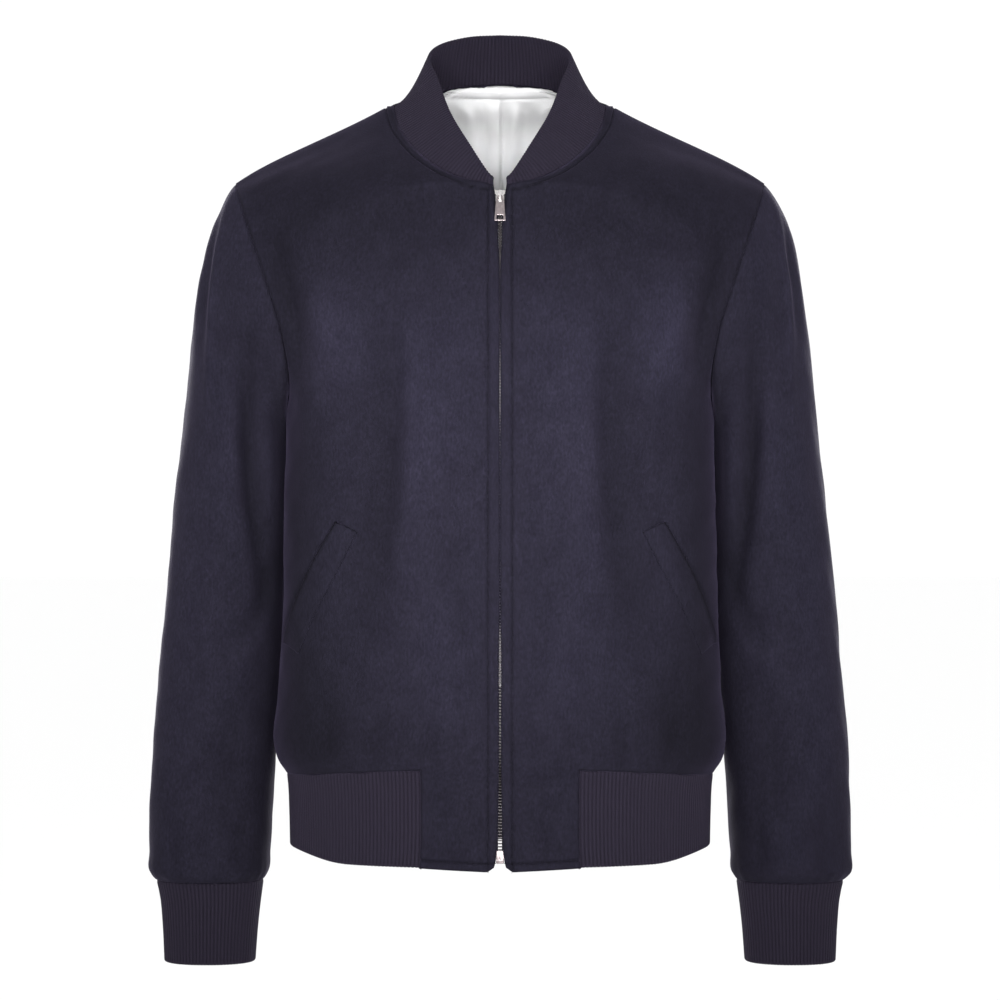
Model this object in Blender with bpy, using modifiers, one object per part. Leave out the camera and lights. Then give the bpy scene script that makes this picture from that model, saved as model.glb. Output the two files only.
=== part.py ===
"""Men's zip bomber jacket in wool with rib knit trims, hollow and filled out as if worn.

Metres, +Z up. The front faces -Y and the wearer's left is +X. The origin is the middle of the
neck at the height of the side neck points, where the wearer's shoulders carry the jacket.

Every wall starts as an open sheet of points that is lofted through curved rows, and a Solidify
modifier gives it its thickness behind the outer face.
"""

from collections import namedtuple
from math import atan2, copysign, cos, pi, radians, sin

import bmesh
import bpy
from mathutils import Matrix, Vector

# ---------------------------------------------------------------- sizes

WOOL_THICK = 0.0020
RIB_THICK = 0.0032
LINING_THICK = 0.0010
TAPE_THICK = 0.0010
WELT_THICK = 0.0016
SEAM_GAP = 0.0003
SEAM_PULL = 0.0002  # how far each piece's edge stands back from its seam line
LAYER_GAP = 0.0005
STRIP = 0.0030  # flat strip beside a ridge seam, so that the walls on both sides meet square

# Neck seam, seen from the front as a rounded U.
NECK_HALF_WIDTH = 0.092
NECK_FRONT_DROP = 0.077
NECK_FRONT_REACH = 0.098
NECK_BACK_RISE = 0.028
NECK_BACK_REACH = 0.070
NECK_FRONT_POWER = 1.2
NECK_BACK_POWER = 1.5
NECK_TIP_ANGLE = 86.5  # where the neck seam ends beside the zip, from the side neck point

# Outer end of the shoulder seam, at the top of the armhole.
SHOULDER_TIP = Vector((-0.229, 0.006, -0.0675))

UNDERARM = Vector((-0.185, 0.005, -0.268))
SIDE_SEAM_Y = 0.005

# Torso sections at level heights: centre front, centre back and half width.
Torso = namedtuple("Torso", "height front back half_width")
TORSO = (
    Torso(0.028, -0.098, 0.070, 0.180),
    Torso(-0.020, -0.098, 0.094, 0.182),
    Torso(-0.077, -0.098, 0.111, 0.183),
    Torso(-0.120, -0.112, 0.118, 0.184),
    Torso(-0.180, -0.124, 0.122, 0.185),
    Torso(-0.268, -0.131, 0.120, 0.185),
    Torso(-0.360, -0.132, 0.113, 0.187),
    Torso(-0.450, -0.130, 0.109, 0.189),
    Torso(-0.520, -0.129, 0.111, 0.193),
    Torso(-0.552, -0.129, 0.114, 0.196),
    Torso(-0.567, -0.126, 0.111, 0.192),
    Torso(-0.578, -0.121, 0.107, 0.185),
    Torso(-0.600, -0.119, 0.106, 0.183),
    Torso(-0.646, -0.119, 0.107, 0.182),
)

# Rows of a front or back panel, from the shoulder seam down. Rows on the neck seam are named by
# their angle from the side neck point, and the rest by their height at the centre. Above the
# underarm a row ends on the armhole, at a share of the way from the shoulder tip to the underarm.
PanelRow = namedtuple("PanelRow", "neck_angle centre_height armhole_share side_height")
SHOULDER_ROWS = (
    PanelRow(0.0, None, 0.00, None),
    PanelRow(2.0, None, 0.02, None),
    PanelRow(22.0, None, 0.10, None),
    PanelRow(42.0, None, 0.20, None),
    PanelRow(60.0, None, 0.30, None),
    PanelRow(74.0, None, 0.41, None),
    PanelRow(NECK_TIP_ANGLE, None, 0.52, None),
)
FRONT_CHEST_ROWS = (
    PanelRow(None, -0.115, 0.64, None),
    PanelRow(None, -0.160, 0.76, None),
    PanelRow(None, -0.210, 0.88, None),
    PanelRow(None, -0.262, 1.00, UNDERARM.z),
)
BACK_CHEST_ROWS = (
    PanelRow(None, -0.045, 0.64, None),
    PanelRow(None, -0.120, 0.76, None),
    PanelRow(None, -0.195, 0.88, None),
    PanelRow(None, -0.262, 1.00, UNDERARM.z),
)
BODY_ROWS = (
    PanelRow(None, -0.298, None, -0.302),
    PanelRow(None, -0.338, None, -0.342),
    PanelRow(None, -0.382, None, -0.386),
    PanelRow(None, -0.427, None, -0.432),
    PanelRow(None, -0.470, None, -0.477),
    PanelRow(None, -0.509, None, -0.518),
    PanelRow(None, -0.538, None, -0.549),
    PanelRow(None, -0.555, None, -0.567),
    PanelRow(None, -0.565, None, -0.578),
)
HEM_ROWS = (
    PanelRow(None, -0.573, None, -0.585),
    PanelRow(None, -0.606, None, -0.612),
    PanelRow(None, -0.646, None, -0.646),
)
TOP_ROWS = len(SHOULDER_ROWS) + len(FRONT_CHEST_ROWS)
SEAM_ROW = TOP_ROWS + len(BODY_ROWS) - 1
LAST_ROW = SEAM_ROW + len(HEM_ROWS)

# Each row of a panel is one bezier curve. Its handles start straight out from the centre, and end
# along the armhole's lead or round the side: shares of the row's width and depth.
NECK_LEAD_DEPTH = 0.30
NECK_LEAD_FALL = 0.42
CENTRE_REACH = 0.34
CENTRE_REACH_LOWER = 0.28  # added below the chest
SHOULDER_REACH = 0.30
SIDE_REACH = 0.64
SEAM_TILT = 0.20  # slope of the flat strip beside the shoulder seam, at the neck

# Stations across a panel, from the centre to the side, as bezier parameters.
TAB_STATION = 0.21
ACROSS = (0.0, 0.07, 0.14, TAB_STATION, 0.32, 0.43, 0.54, 0.65, 0.76, 0.87, 0.988, 1.0)
TAB_COLUMN = ACROSS.index(TAB_STATION)
TAB_DROP = 0.0050  # how far the tab reaches below the rib beside the zip
TAB_SIDE_DROP = 0.0022  # the same beside the rib

# Armhole, from the shoulder tip to the underarm. The turn is how far a panel has turned from
# straight outwards towards the other side of the jacket, and the fall how far it points down.
Armhole = namedtuple("Armhole", "x y z panel_turn panel_fall sleeve_turn sleeve_fall")
ARMHOLE_FRONT = (
    Armhole(SHOULDER_TIP.x, SHOULDER_TIP.y, SHOULDER_TIP.z, 0, 42, 0, 46),
    Armhole(-0.2250, -0.029, -0.079, 12, 34, 12, 40),
    Armhole(-0.2140, -0.055, -0.112, 28, 24, 22, 36),
    Armhole(-0.1990, -0.067, -0.155, 44, 12, 16, 46),
    Armhole(-0.1850, -0.065, -0.201, 60, 4, 8, 56),
    Armhole(-0.1800, -0.045, -0.241, 78, 0, 0, 62),
    Armhole(UNDERARM.x, UNDERARM.y, UNDERARM.z, 90, 0, 0, 66),
)
ARMHOLE_BACK = (
    Armhole(SHOULDER_TIP.x, SHOULDER_TIP.y, SHOULDER_TIP.z, 0, 42, 0, 46),
    Armhole(-0.2260, 0.040, -0.079, 12, 34, 12, 40),
    Armhole(-0.2180, 0.065, -0.112, 26, 24, 20, 36),
    Armhole(-0.2070, 0.079, -0.155, 42, 12, 14, 46),
    Armhole(-0.1960, 0.079, -0.201, 58, 4, 8, 56),
    Armhole(-0.1880, 0.057, -0.243, 78, 0, 0, 62),
    Armhole(UNDERARM.x, UNDERARM.y, UNDERARM.z, 90, 0, 0, 66),
)

# Sleeve rings at level heights below the cap, then the cuff: outer and inner reach from the
# jacket's middle, the ring's middle in depth, and its half depth.
Ring = namedtuple("Ring", "height outer inner depth half_depth")
SLEEVE_RINGS = (
    Ring(-0.300, 0.2800, 0.1830, 0.038, 0.070),
    Ring(-0.345, 0.2850, 0.1842, 0.038, 0.067),
    Ring(-0.395, 0.2905, 0.1853, 0.038, 0.0635),
    Ring(-0.445, 0.2955, 0.1872, 0.037, 0.060),
    Ring(-0.495, 0.2995, 0.1908, 0.035, 0.057),
    Ring(-0.545, 0.3035, 0.1950, 0.032, 0.0535),
    Ring(-0.595, 0.3055, 0.1987, 0.027, 0.050),
    Ring(-0.648, 0.3063, 0.2012, 0.021, 0.047),
    Ring(-0.665, 0.3058, 0.2020, 0.019, 0.0455),
    Ring(-0.6725, 0.2995, 0.2063, 0.018, 0.0395),
)
CUFF_RINGS = (
    Ring(-0.6725, 0.2995, 0.2063, 0.018, 0.0395),
    Ring(-0.685, 0.2965, 0.2080, 0.017, 0.0368),
    Ring(-0.710, 0.2938, 0.2108, 0.015, 0.0345),
    Ring(-0.741, 0.2920, 0.2130, 0.012, 0.0325),
)
CAP_STEPS = (0.20, 0.42, 0.66, 0.84)
CAP_REACH = 0.145  # share of the drop from the armhole to the first ring, as a handle
CAP_REACH_LEAST = 0.011
CAP_RISE = 0.42  # the same for the handle at the first ring
CAP_RIDGE = (0.30, 0.55)  # share of the way down the armhole where its ridge fades out
RING_SQUARENESS = 0.92

# Collar, from beside the zip round to the centre back: angle on the neck seam, counted from the
# side neck point and negative towards the front, and the matching point of its top edge.
Collar = namedtuple("Collar", "seam_angle x y z")
COLLAR = (
    Collar(-NECK_TIP_ANGLE, -0.0058, -0.1005, -0.0715),
    Collar(-60.0, -0.0240, -0.0845, -0.0450),
    Collar(-30.0, -0.0415, -0.0530, -0.0120),
    Collar(0.0, -0.0560, -0.0130, 0.0220),
    Collar(22.0, -0.0632, 0.0120, 0.0415),
    Collar(50.0, -0.0520, 0.0400, 0.0585),
    Collar(70.0, -0.0275, 0.0520, 0.0662),
    Collar(90.0, 0.0000, 0.0550, 0.0682),
)
COLLAR_STEPS = (0.0, 0.06, 0.38, 0.72, 1.0)
COLLAR_BULGE = 0.0015
COLLAR_BULGE_LIFT = 0.05  # height of the bulge's direction, seen from the neck's middle
COLLAR_FULL_HEIGHT = 0.045  # a lower part of the collar bulges less

# Large soft folds: where each starts and ends on its piece, its width and its depth, which is
# negative for a trough. On a panel the place is a station across and a row, and on a sleeve a
# share of the way round from the top seam and a height.
Fold = namedtuple("Fold", "start end width depth")
FRONT_FOLDS = (
    Fold((0.58, 7.5), (0.50, 11.2), 0.085, -0.0040),
    Fold((0.76, 8.0), (0.86, 14.0), 0.080, 0.0025),
    Fold((0.90, 7.0), (0.97, 10.0), 0.045, -0.0040),
)
BACK_FOLDS = (
    Fold((0.66, 7.5), (0.58, 15.5), 0.090, -0.0045),
    Fold((0.86, 7.0), (0.80, 12.0), 0.060, -0.0040),
)

ROW_SCALE = 0.055  # one panel row counts as this much of a station when a fold is measured

# Searching for a place on a panel from its position.
ROW_PITCH = 0.036
PLACE_ROUNDS = 4
HALVINGS = 30

# Front edges beside the zip: half the width of the opening between them.
FrontEdge = namedtuple("FrontEdge", "height half_gap")
FRONT_EDGES = (
    FrontEdge(-0.070, 0.0056),
    FrontEdge(-0.098, 0.0054),
    FrontEdge(-0.115, 0.0044),
    FrontEdge(-0.140, 0.0024),
    FrontEdge(-0.500, 0.0019),
    FrontEdge(-0.620, 0.0024),
    FrontEdge(-0.646, 0.0045),
)

# Pocket welt, seen from the front: its opening edge and its sewn edge, from the top down, as
# distances from the middle and heights.
Welt = namedtuple("Welt", "opening_x opening_z sewn_x sewn_z")
WELT = (
    Welt(0.1360, -0.3600, 0.1186, -0.3685),
    Welt(0.1560, -0.3950, 0.1370, -0.4040),
    Welt(0.1717, -0.4300, 0.1553, -0.4380),
    Welt(0.1835, -0.4640, 0.1705, -0.4730),
)
WELT_STEPS = 9
WELT_LIFT = 0.0011

LINING_COLUMNS = 10
LINING_ROWS = (2, 3, 4, 5, 6, 7, 8, 10, 12, 14, 16)
LINING_GAP = 0.0007  # at the neck, where the lining is sewn
LINING_SLACK_ROWS = (3.0, 9.0)  # where it leaves the seam and where it has all its slack
LINING_NECK_DROP = 0.045  # share of a row that its top edge stays below the collar
LINING_SLACK = 0.0050  # further in below the shoulders, where it hangs clear of the folds

TOOTH_HALF_WIDTH = 0.0028
CHAIN_THICK = 0.0022
CHAIN_SETBACK = 0.0026
ZIP_TAPE_REACH = 0.0155
CHAIN_TOP = -0.0883
CHAIN_BOTTOM = -0.6330

# The slider stands in the plane of the front edges, which lean back at the neck.
SLIDER_HEIGHT = -0.0895
SLIDER_SIZE = Vector((0.0086, 0.0062, 0.0125))
SLIDER_CHANNEL = Vector((0.0200, 0.0030, 0.0105))
BRIDGE_SIZE = Vector((0.0022, 0.0036, 0.0078))
BRIDGE_WINDOW = Vector((0.0060, 0.0025, 0.0040))
BRIDGE_RISE = 0.0008
BRIDGE_SINK = 0.0006
PULL_PIN = 0.0010
PULL_PIN_DROP = 0.0010
PULL_STANDOFF = 0.0015
PULL_LENGTH = 0.0232
PULL_TOP_WIDTH = 0.0074
PULL_FOOT_WIDTH = 0.0094
PULL_CORNER = 0.0008
PULL_THICK = 0.0012
PULL_EYE = Vector((0.0036, 0.0100, 0.0050))
PULL_SLOT = Vector((0.0056, 0.0100, 0.0036))
PULL_SLOT_LIFT = 0.0016
BOX_SIZE = Vector((0.0068, 0.0036, 0.0105))

Finish = namedtuple("Finish", "color roughness metallic")
NAVY_WOOL = Finish((0.027, 0.024, 0.042), 0.92, 0.0)
NAVY_RIB = Finish((0.024, 0.020, 0.037), 0.88, 0.0)
WHITE_LINING = Finish((0.72, 0.72, 0.74), 0.45, 0.0)
NAVY_TAPE = Finish((0.018, 0.016, 0.028), 0.80, 0.0)
SILVER = Finish((0.62, 0.60, 0.60), 0.28, 1.0)
DARK_METAL = Finish((0.30, 0.29, 0.30), 0.40, 1.0)

# ---------------------------------------------------------------- curves and tables


def cubic(before, start, end, after, share):
    """Smooth value between start and end, with its neighbours giving the slopes."""
    lean_in = (end - before) * 0.5
    lean_out = (after - start) * 0.5
    s, s2, s3 = share, share**2, share**3
    return (
        start * (2 * s3 - 3 * s2 + 1)
        + lean_in * (s3 - 2 * s2 + s)
        + end * (3 * s2 - 2 * s3)
        + lean_out * (s3 - s2)
    )


def along(values, place):
    """Smooth value at a fractional place in a list of numbers or vectors."""
    last = len(values) - 1
    i = min(int(max(place, 0.0)), last - 1)
    before = values[i - 1] if i > 0 else values[i] * 2 - values[i + 1]
    after = values[i + 2] if i + 2 <= last else values[i + 1] * 2 - values[i]
    return cubic(before, values[i], values[i + 1], after, place - i)


def by_height(table, height):
    """Fractional place of a height in a table whose heights run downwards."""
    for i in range(len(table) - 1):
        upper, lower = table[i].height, table[i + 1].height
        if height >= lower:
            return max(i + (upper - height) / (upper - lower), 0.0)
    return len(table) - 1.0


def at_height(table, column, height):
    return along([getattr(row, column) for row in table], by_height(table, height))


def bezier(start, reach_in, reach_out, end, share):
    s, r = share, 1.0 - share
    return (
        start * r**3
        + (start + reach_in) * (3 * r * r * s)
        + (end + reach_out) * (3 * r * s * s)
        + end * s**3
    )


def smoothstep(low, high, value):
    s = min(max((value - low) / (high - low), 0.0), 1.0)
    return s * s * (3 - 2 * s)


def turned(turn, fall, towards):
    """Direction that points outwards on the wearer's right, turned and falling in degrees."""
    level = cos(radians(fall))
    return Vector(
        (-cos(radians(turn)) * level, towards * sin(radians(turn)) * level, -sin(radians(fall)))
    )


# ---------------------------------------------------------------- the body's form


def neck_point(angle, front):
    """Point on the neck seam, right half, at an angle in degrees from the side neck point."""
    c, s = cos(radians(angle)), sin(radians(angle))
    if front:
        return Vector(
            (-NECK_HALF_WIDTH * c, -NECK_FRONT_REACH * s, -NECK_FRONT_DROP * s**NECK_FRONT_POWER)
        )
    return Vector(
        (-NECK_HALF_WIDTH * c, NECK_BACK_REACH * s, NECK_BACK_RISE * s**NECK_BACK_POWER)
    )


def armhole_point(share, front):
    table = ARMHOLE_FRONT if front else ARMHOLE_BACK
    points = [Vector((row.x, row.y, row.z)) for row in table]
    return along(points, share * (len(points) - 1))


def armhole_lead(share, front, kind):
    """Direction in which a panel reaches the armhole, or the sleeve leaves it."""
    table = ARMHOLE_FRONT if front else ARMHOLE_BACK
    place = share * (len(table) - 1)
    turn = along([getattr(row, kind + "_turn") for row in table], place)
    fall = along([getattr(row, kind + "_fall") for row in table], place)
    return turned(turn, fall, 1.0 if front else -1.0)


def panel_rows(front):
    chest = FRONT_CHEST_ROWS if front else BACK_CHEST_ROWS
    back_neck = tuple(row._replace(neck_angle=90.0) for row in SHOULDER_ROWS[-1:])
    neck = SHOULDER_ROWS if front else SHOULDER_ROWS[:-1] + back_neck
    return neck + chest + BODY_ROWS + HEM_ROWS


def row_curve(row, index, front, share):
    """Point on one row of a panel of the wearer's right half, from its centre to its side."""
    sign = -1.0 if front else 1.0
    depth = "front" if front else "back"
    low = smoothstep(1.0, TOP_ROWS - 1.0, index)
    if row.neck_angle is not None:
        start = neck_point(row.neck_angle, front)
        flat = smoothstep(0.0, 90.0, row.neck_angle)
        depth_lead = sign * NECK_LEAD_DEPTH * sin(radians(2 * row.neck_angle))
        lead_in = Vector((-1.0, depth_lead, -NECK_LEAD_FALL * (1 - flat)))
    else:
        start = Vector((0.0, at_height(TORSO, depth, row.centre_height), row.centre_height))
        lead_in = Vector((-1.0, 0.0, 0.0))
    if row.armhole_share is not None:
        end = armhole_point(row.armhole_share, front)
        lead_out = armhole_lead(row.armhole_share, front, "panel")
    else:
        half_width = at_height(TORSO, "half_width", row.side_height)
        end = Vector((-half_width, SIDE_SEAM_Y, row.side_height))
        lead_out = Vector((0.0, -sign, 0.0))
    width = abs(end.x - start.x)
    thick = abs(end.y - start.y)
    reach_in = lead_in * width * (CENTRE_REACH + CENTRE_REACH_LOWER * low)
    reach_out = lead_out * -(SHOULDER_REACH * width * (1 - low) + SIDE_REACH * thick * low)
    return bezier(start, reach_in, reach_out, end, share)


def seam_strip(front, share):
    """Second row of a panel: a flat strip that front and back share at the shoulder seam."""
    seam = row_curve(SHOULDER_ROWS[0], 0, front, share)
    sign = -1.0 if front else 1.0
    tilt = SEAM_TILT * (1.0 - share)
    return seam + Vector((0.0, sign, sign * tilt)) * STRIP


def fold_depth(folds, across, down, down_scale):
    """Height of the folds at a place on a piece, above the plain surface."""
    total = 0.0
    for fold in folds:
        start = Vector((fold.start[0], fold.start[1] * down_scale))
        end = Vector((fold.end[0], fold.end[1] * down_scale))
        here = Vector((across, down * down_scale))
        run = end - start
        share = min(max((here - start).dot(run) / run.length_squared, 0.0), 1.0)
        away = (here - start - run * share).length / fold.width
        total += fold.depth * max(1.0 - away * away, 0.0) ** 2
    return total


def panel_row_point(index, front, share, folded=True):
    rows = panel_rows(front)
    if index == 1:
        point = seam_strip(front, share)
    else:
        point = row_curve(rows[index], index, front, share)
    folds = FRONT_FOLDS if front else BACK_FOLDS
    lift = fold_depth(folds, share, index, ROW_SCALE)
    if folded and index < SEAM_ROW:
        outwards = Vector((point.x * 0.5, point.y, 0.0)).normalized()
        point = point + outwards * lift
    return point


def panel_point(share, place, front):
    """Point of a panel at a share across and a fractional row, on the wearer's right half."""
    first = min(max(int(place) - 1, 0), LAST_ROW - 3)
    points = [panel_row_point(i, front, share) for i in range(first, first + 4)]
    point = along(points, place - first)
    if front:
        half_gap = at_height(FRONT_EDGES, "half_gap", point.z)
        point.x = min(point.x, -half_gap) if share == 0.0 else point.x - half_gap * (1 - share) ** 3
    return point


# ---------------------------------------------------------------- making solids


def to_side(point, side):
    """A point of the wearer's right half, or its mirror image on the left for side 1."""
    return Vector((point.x * -side, point.y, point.z))


def make_material(name, finish):
    material = bpy.data.materials.new(name)
    material.use_nodes = True
    shader = material.node_tree.nodes["Principled BSDF"]
    shader.inputs["Base Color"].default_value = (*finish.color, 1.0)
    shader.inputs["Roughness"].default_value = finish.roughness
    shader.inputs["Metallic"].default_value = finish.metallic
    return material


def add_object(name, mesh, finish, collection):
    piece = bpy.data.objects.new(name, mesh)
    piece.data.materials.append(make_material(name + "_finish", finish))
    collection.objects.link(piece)
    return piece


def wall(name, grid, thickness, finish, collection, closed=False, mirror=False, keep=None,
         outside=None):
    """Wall from a grid of points: an open sheet, thickened behind its outer face.

    outside(face centre) gives a direction that points away from the jacket's inside. A mirrored
    wall is a right half that is open at the middle plane.
    """
    mesh = bpy.data.meshes.new(name)
    bm = bmesh.new()
    corners = [[bm.verts.new(point) for point in row] for row in grid]
    columns = len(grid[0])
    for i in range(len(grid) - 1):
        for j in range(columns if closed else columns - 1):
            if keep is None or keep(i, j):
                k = (j + 1) % columns
                bm.faces.new((corners[i][j], corners[i][k], corners[i + 1][k], corners[i + 1][j]))
    bmesh.ops.delete(bm, geom=[v for v in bm.verts if not v.link_faces], context="VERTS")
    bm.normal_update()
    if sum(face.normal.dot(outside(face.calc_center_median())) for face in bm.faces) < 0.0:
        bmesh.ops.reverse_faces(bm, faces=bm.faces)
    bm.to_mesh(mesh)
    bm.free()
    piece = add_object(name, mesh, finish, collection)
    if mirror:
        halves = piece.modifiers.new("Halves", "MIRROR")
        halves.use_mirror_merge = True
        halves.merge_threshold = 0.0001
    shell = piece.modifiers.new("Thickness", "SOLIDIFY")
    shell.thickness = thickness
    shell.offset = -1.0
    shell.use_even_offset = True
    shell.use_quality_normals = True
    return piece


def pulled(point, neighbour):
    """A point on a piece's edge, moved half a seam gap into the piece."""
    return point + (neighbour - point).normalized() * SEAM_PULL


def from_axis(centre):
    """Outwards from the middle of the torso."""
    return Vector((centre.x, centre.y, 0.0))


def inset(grid, distance):
    """The grid's points moved inwards, along the surface's normals, by a distance."""
    rows, columns = len(grid), len(grid[0])
    moved = []
    for i in range(rows):
        line = []
        for j in range(columns):
            up, down = grid[max(i - 1, 0)][j], grid[min(i + 1, rows - 1)][j]
            left, right = grid[i][max(j - 1, 0)], grid[i][min(j + 1, columns - 1)]
            normal = (down - up).cross(right - left).normalized()
            if normal.dot(from_axis(grid[i][j])) < 0.0:
                normal.negate()
            line.append(grid[i][j] - normal * distance)
        moved.append(line)
    return moved


# ---------------------------------------------------------------- wool pieces


def half_panel(front, rows):
    """Points of a panel's right half, with its seam edges moved in by half a seam gap."""
    plain = [[panel_point(s, i, front) for s in ACROSS] for i in range(rows)]
    grid = [list(row) for row in plain]
    last = len(ACROSS) - 1
    neck_rows = len(SHOULDER_ROWS)
    for i in range(rows):
        if i <= SEAM_ROW:
            grid[i][last] = pulled(grid[i][last], plain[i][last - 1])
        if i == TOP_ROWS - 1:
            grid[i][last] = pulled(grid[i][last], plain[i][last - 1])
        if i < neck_rows - 1 or (front and i == neck_rows - 1):
            grid[i][0] = pulled(grid[i][0], plain[i][1])
        if i >= SEAM_ROW and front:
            grid[i][TAB_COLUMN] = pulled(grid[i][TAB_COLUMN], plain[i][TAB_COLUMN - 1])
    if not front:
        grid[neck_rows - 1][0] = pulled(grid[neck_rows - 1][0], plain[neck_rows][0])
    for j in range(last + 1):
        grid[0][j] = pulled(grid[0][j], plain[1][j])
        if j >= TAB_COLUMN or not front:
            grid[SEAM_ROW][j] = pulled(grid[SEAM_ROW][j], plain[SEAM_ROW - 1][j])
    return grid


def make_front(name, side, collection):
    """One front, cut in one with the tab beside the zip that runs down to the bottom edge."""
    grid = [[to_side(point, side) for point in row] for row in half_panel(True, LAST_ROW + 1)]
    for j in range(TAB_COLUMN + 1):
        grid[LAST_ROW][j].z -= TAB_DROP + (TAB_SIDE_DROP - TAB_DROP) * ACROSS[j] / TAB_STATION
    wall(name, grid, WOOL_THICK, NAVY_WOOL, collection,
         keep=lambda i, j: i < SEAM_ROW or j < TAB_COLUMN, outside=from_axis)


def make_back(collection):
    wall("back", half_panel(False, SEAM_ROW + 1), WOOL_THICK, NAVY_WOOL, collection,
         mirror=True, outside=from_axis)


def armhole_stations():
    """Places round the armhole: share of the way to the underarm, and whether in front."""
    shares = [row.armhole_share for row in SHOULDER_ROWS + FRONT_CHEST_ROWS]
    front = [(share, True) for share in shares]
    back = [(share, False) for share in reversed(shares[1:-1])]
    return front + back


def ring_point(ring, share, front):
    """Point of a level sleeve ring, at a share of the way round from its outer side."""
    angle = pi * share
    across = copysign(abs(cos(angle)) ** RING_SQUARENESS, cos(angle))
    deep = abs(sin(angle)) ** RING_SQUARENESS * (-1.0 if front else 1.0)
    middle = (ring.outer + ring.inner) / 2
    half_width = (ring.outer - ring.inner) / 2
    return Vector((-(middle + half_width * across), ring.depth + ring.half_depth * deep, ring.height))


def sleeve_column(share, front):
    """Points of a sleeve from the armhole down to the cuff, at one place round it."""
    seam = armhole_point(share, front)
    lead = armhole_lead(share, front, "sleeve")
    flat = armhole_lead(share, front, "panel").lerp(lead, smoothstep(*CAP_RIDGE, share)).normalized()
    first = ring_point(SLEEVE_RINGS[0], share, front)
    below = ring_point(SLEEVE_RINGS[1], share, front)
    drop = (seam - first).length
    start = seam + flat * STRIP
    reach_in = lead * (CAP_REACH * drop + CAP_REACH_LEAST)
    reach_out = (first - below).normalized() * drop * CAP_RISE
    cap = [bezier(start, reach_in, reach_out, first, step) for step in CAP_STEPS]
    rings = [ring_point(ring, share, front) for ring in SLEEVE_RINGS]
    return [seam, start] + cap + rings


def make_sleeve(name, side, collection):
    columns = [sleeve_column(share, front) for share, front in armhole_stations()]
    for column in columns:
        column[0] = pulled(column[0], column[1])
        column[-1] = column[-1] + Vector((0.0, 0.0, SEAM_PULL))
    grid = [[to_side(column[i], side) for column in columns] for i in range(len(columns[0]))]
    middle = sum((to_side(column[8], side) for column in columns), Vector()) / len(columns)
    wall(name, grid, WOOL_THICK, NAVY_WOOL, collection, closed=True,
         outside=lambda centre: Vector((centre.x - middle.x, centre.y - middle.y, 0.0)))


def row_place(height):
    """Fractional row of a panel whose side is at a height below the underarm."""
    first = TOP_ROWS - 1
    sides = [UNDERARM.z] + [row.side_height for row in BODY_ROWS]
    for i in range(len(sides) - 1):
        if height >= sides[i + 1]:
            return first + i + (sides[i] - height) / (sides[i] - sides[i + 1])
    return float(SEAM_ROW)


def station_at(distance, place):
    """Station of the front panel at a distance from the middle, found by halving."""
    low, high = 0.0, 1.0
    for _ in range(HALVINGS):
        middle = (low + high) / 2
        if -panel_point(middle, place, True).x < distance:
            low = middle
        else:
            high = middle
    return low


def panel_normal(station, place):
    """Direction straight out of the front panel."""
    step = 0.01
    right = panel_point(min(station + step, 1.0), place, True)
    left = panel_point(max(station - step, 0.0), place, True)
    down = panel_point(station, place + step, True)
    up = panel_point(station, place - step, True)
    normal = (down - up).cross(right - left).normalized()
    if normal.dot(from_axis(panel_point(station, place, True))) < 0.0:
        normal.negate()
    return normal


def on_front(distance, height, lift):
    """Place on the front panel seen from the front, moved straight out by lift."""
    place = row_place(height)
    for _ in range(PLACE_ROUNDS):
        station = station_at(distance, place)
        place += (panel_point(station, place, True).z - height) / ROW_PITCH
    return panel_point(station, place, True) + panel_normal(station, place) * lift


def make_welt(name, side, collection):
    """Slanted pocket welt that lies on the front panel."""
    rows = []
    for across in (0.0, 0.5, 1.0):
        row = []
        for i in range(WELT_STEPS):
            place = i / (WELT_STEPS - 1) * (len(WELT) - 1)
            opening_x, opening_z, sewn_x, sewn_z = (
                along([getattr(line, column) for line in WELT], place) for column in Welt._fields
            )
            distance = opening_x + (sewn_x - opening_x) * across
            height = opening_z + (sewn_z - opening_z) * across
            row.append(to_side(on_front(distance, height, WELT_LIFT + WELT_THICK), side))
        rows.append(row)
    wall(name, rows, WELT_THICK, NAVY_WOOL, collection, outside=from_axis)


# ---------------------------------------------------------------- rib knit pieces


def collar_grid():
    """Points of the collar's right half, from its seam up to its top edge."""
    seam_angles = [row.neck_angle for row in SHOULDER_ROWS]
    angles = [-angle for angle in reversed(seam_angles)] + seam_angles[1:-1] + [90.0]
    places = [collar_place(angle) for angle in angles]
    tops = [Vector((row.x, row.y, row.z)) for row in COLLAR]
    grid = []
    for step in COLLAR_STEPS:
        row = []
        for angle, place in zip(angles, places):
            seam = neck_point(abs(angle), angle < 0.0)
            top = along(tops, place)
            bulge = Vector((seam.x, seam.y, COLLAR_BULGE_LIFT)).normalized() * COLLAR_BULGE
            height = min((top - seam).length / COLLAR_FULL_HEIGHT, 1.0)
            row.append(seam.lerp(top, step) + bulge * (4 * step * (1 - step) * height))
        grid.append(row)
    return grid


def collar_place(angle):
    """Fractional place of a neck seam angle in the collar's table."""
    for i in range(len(COLLAR) - 1):
        low, high = COLLAR[i].seam_angle, COLLAR[i + 1].seam_angle
        if angle <= high:
            return i + (angle - low) / (high - low)
    return len(COLLAR) - 1.0


def make_collar(collection):
    grid = collar_grid()
    grid[0] = [pulled(point, above) for point, above in zip(grid[0], grid[1])]
    grid[0][-1].x = 0.0
    wall("collar_rib", grid, RIB_THICK, NAVY_RIB, collection, mirror=True,
         outside=lambda centre: Vector((centre.x, centre.y, 0.02)))


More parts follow.
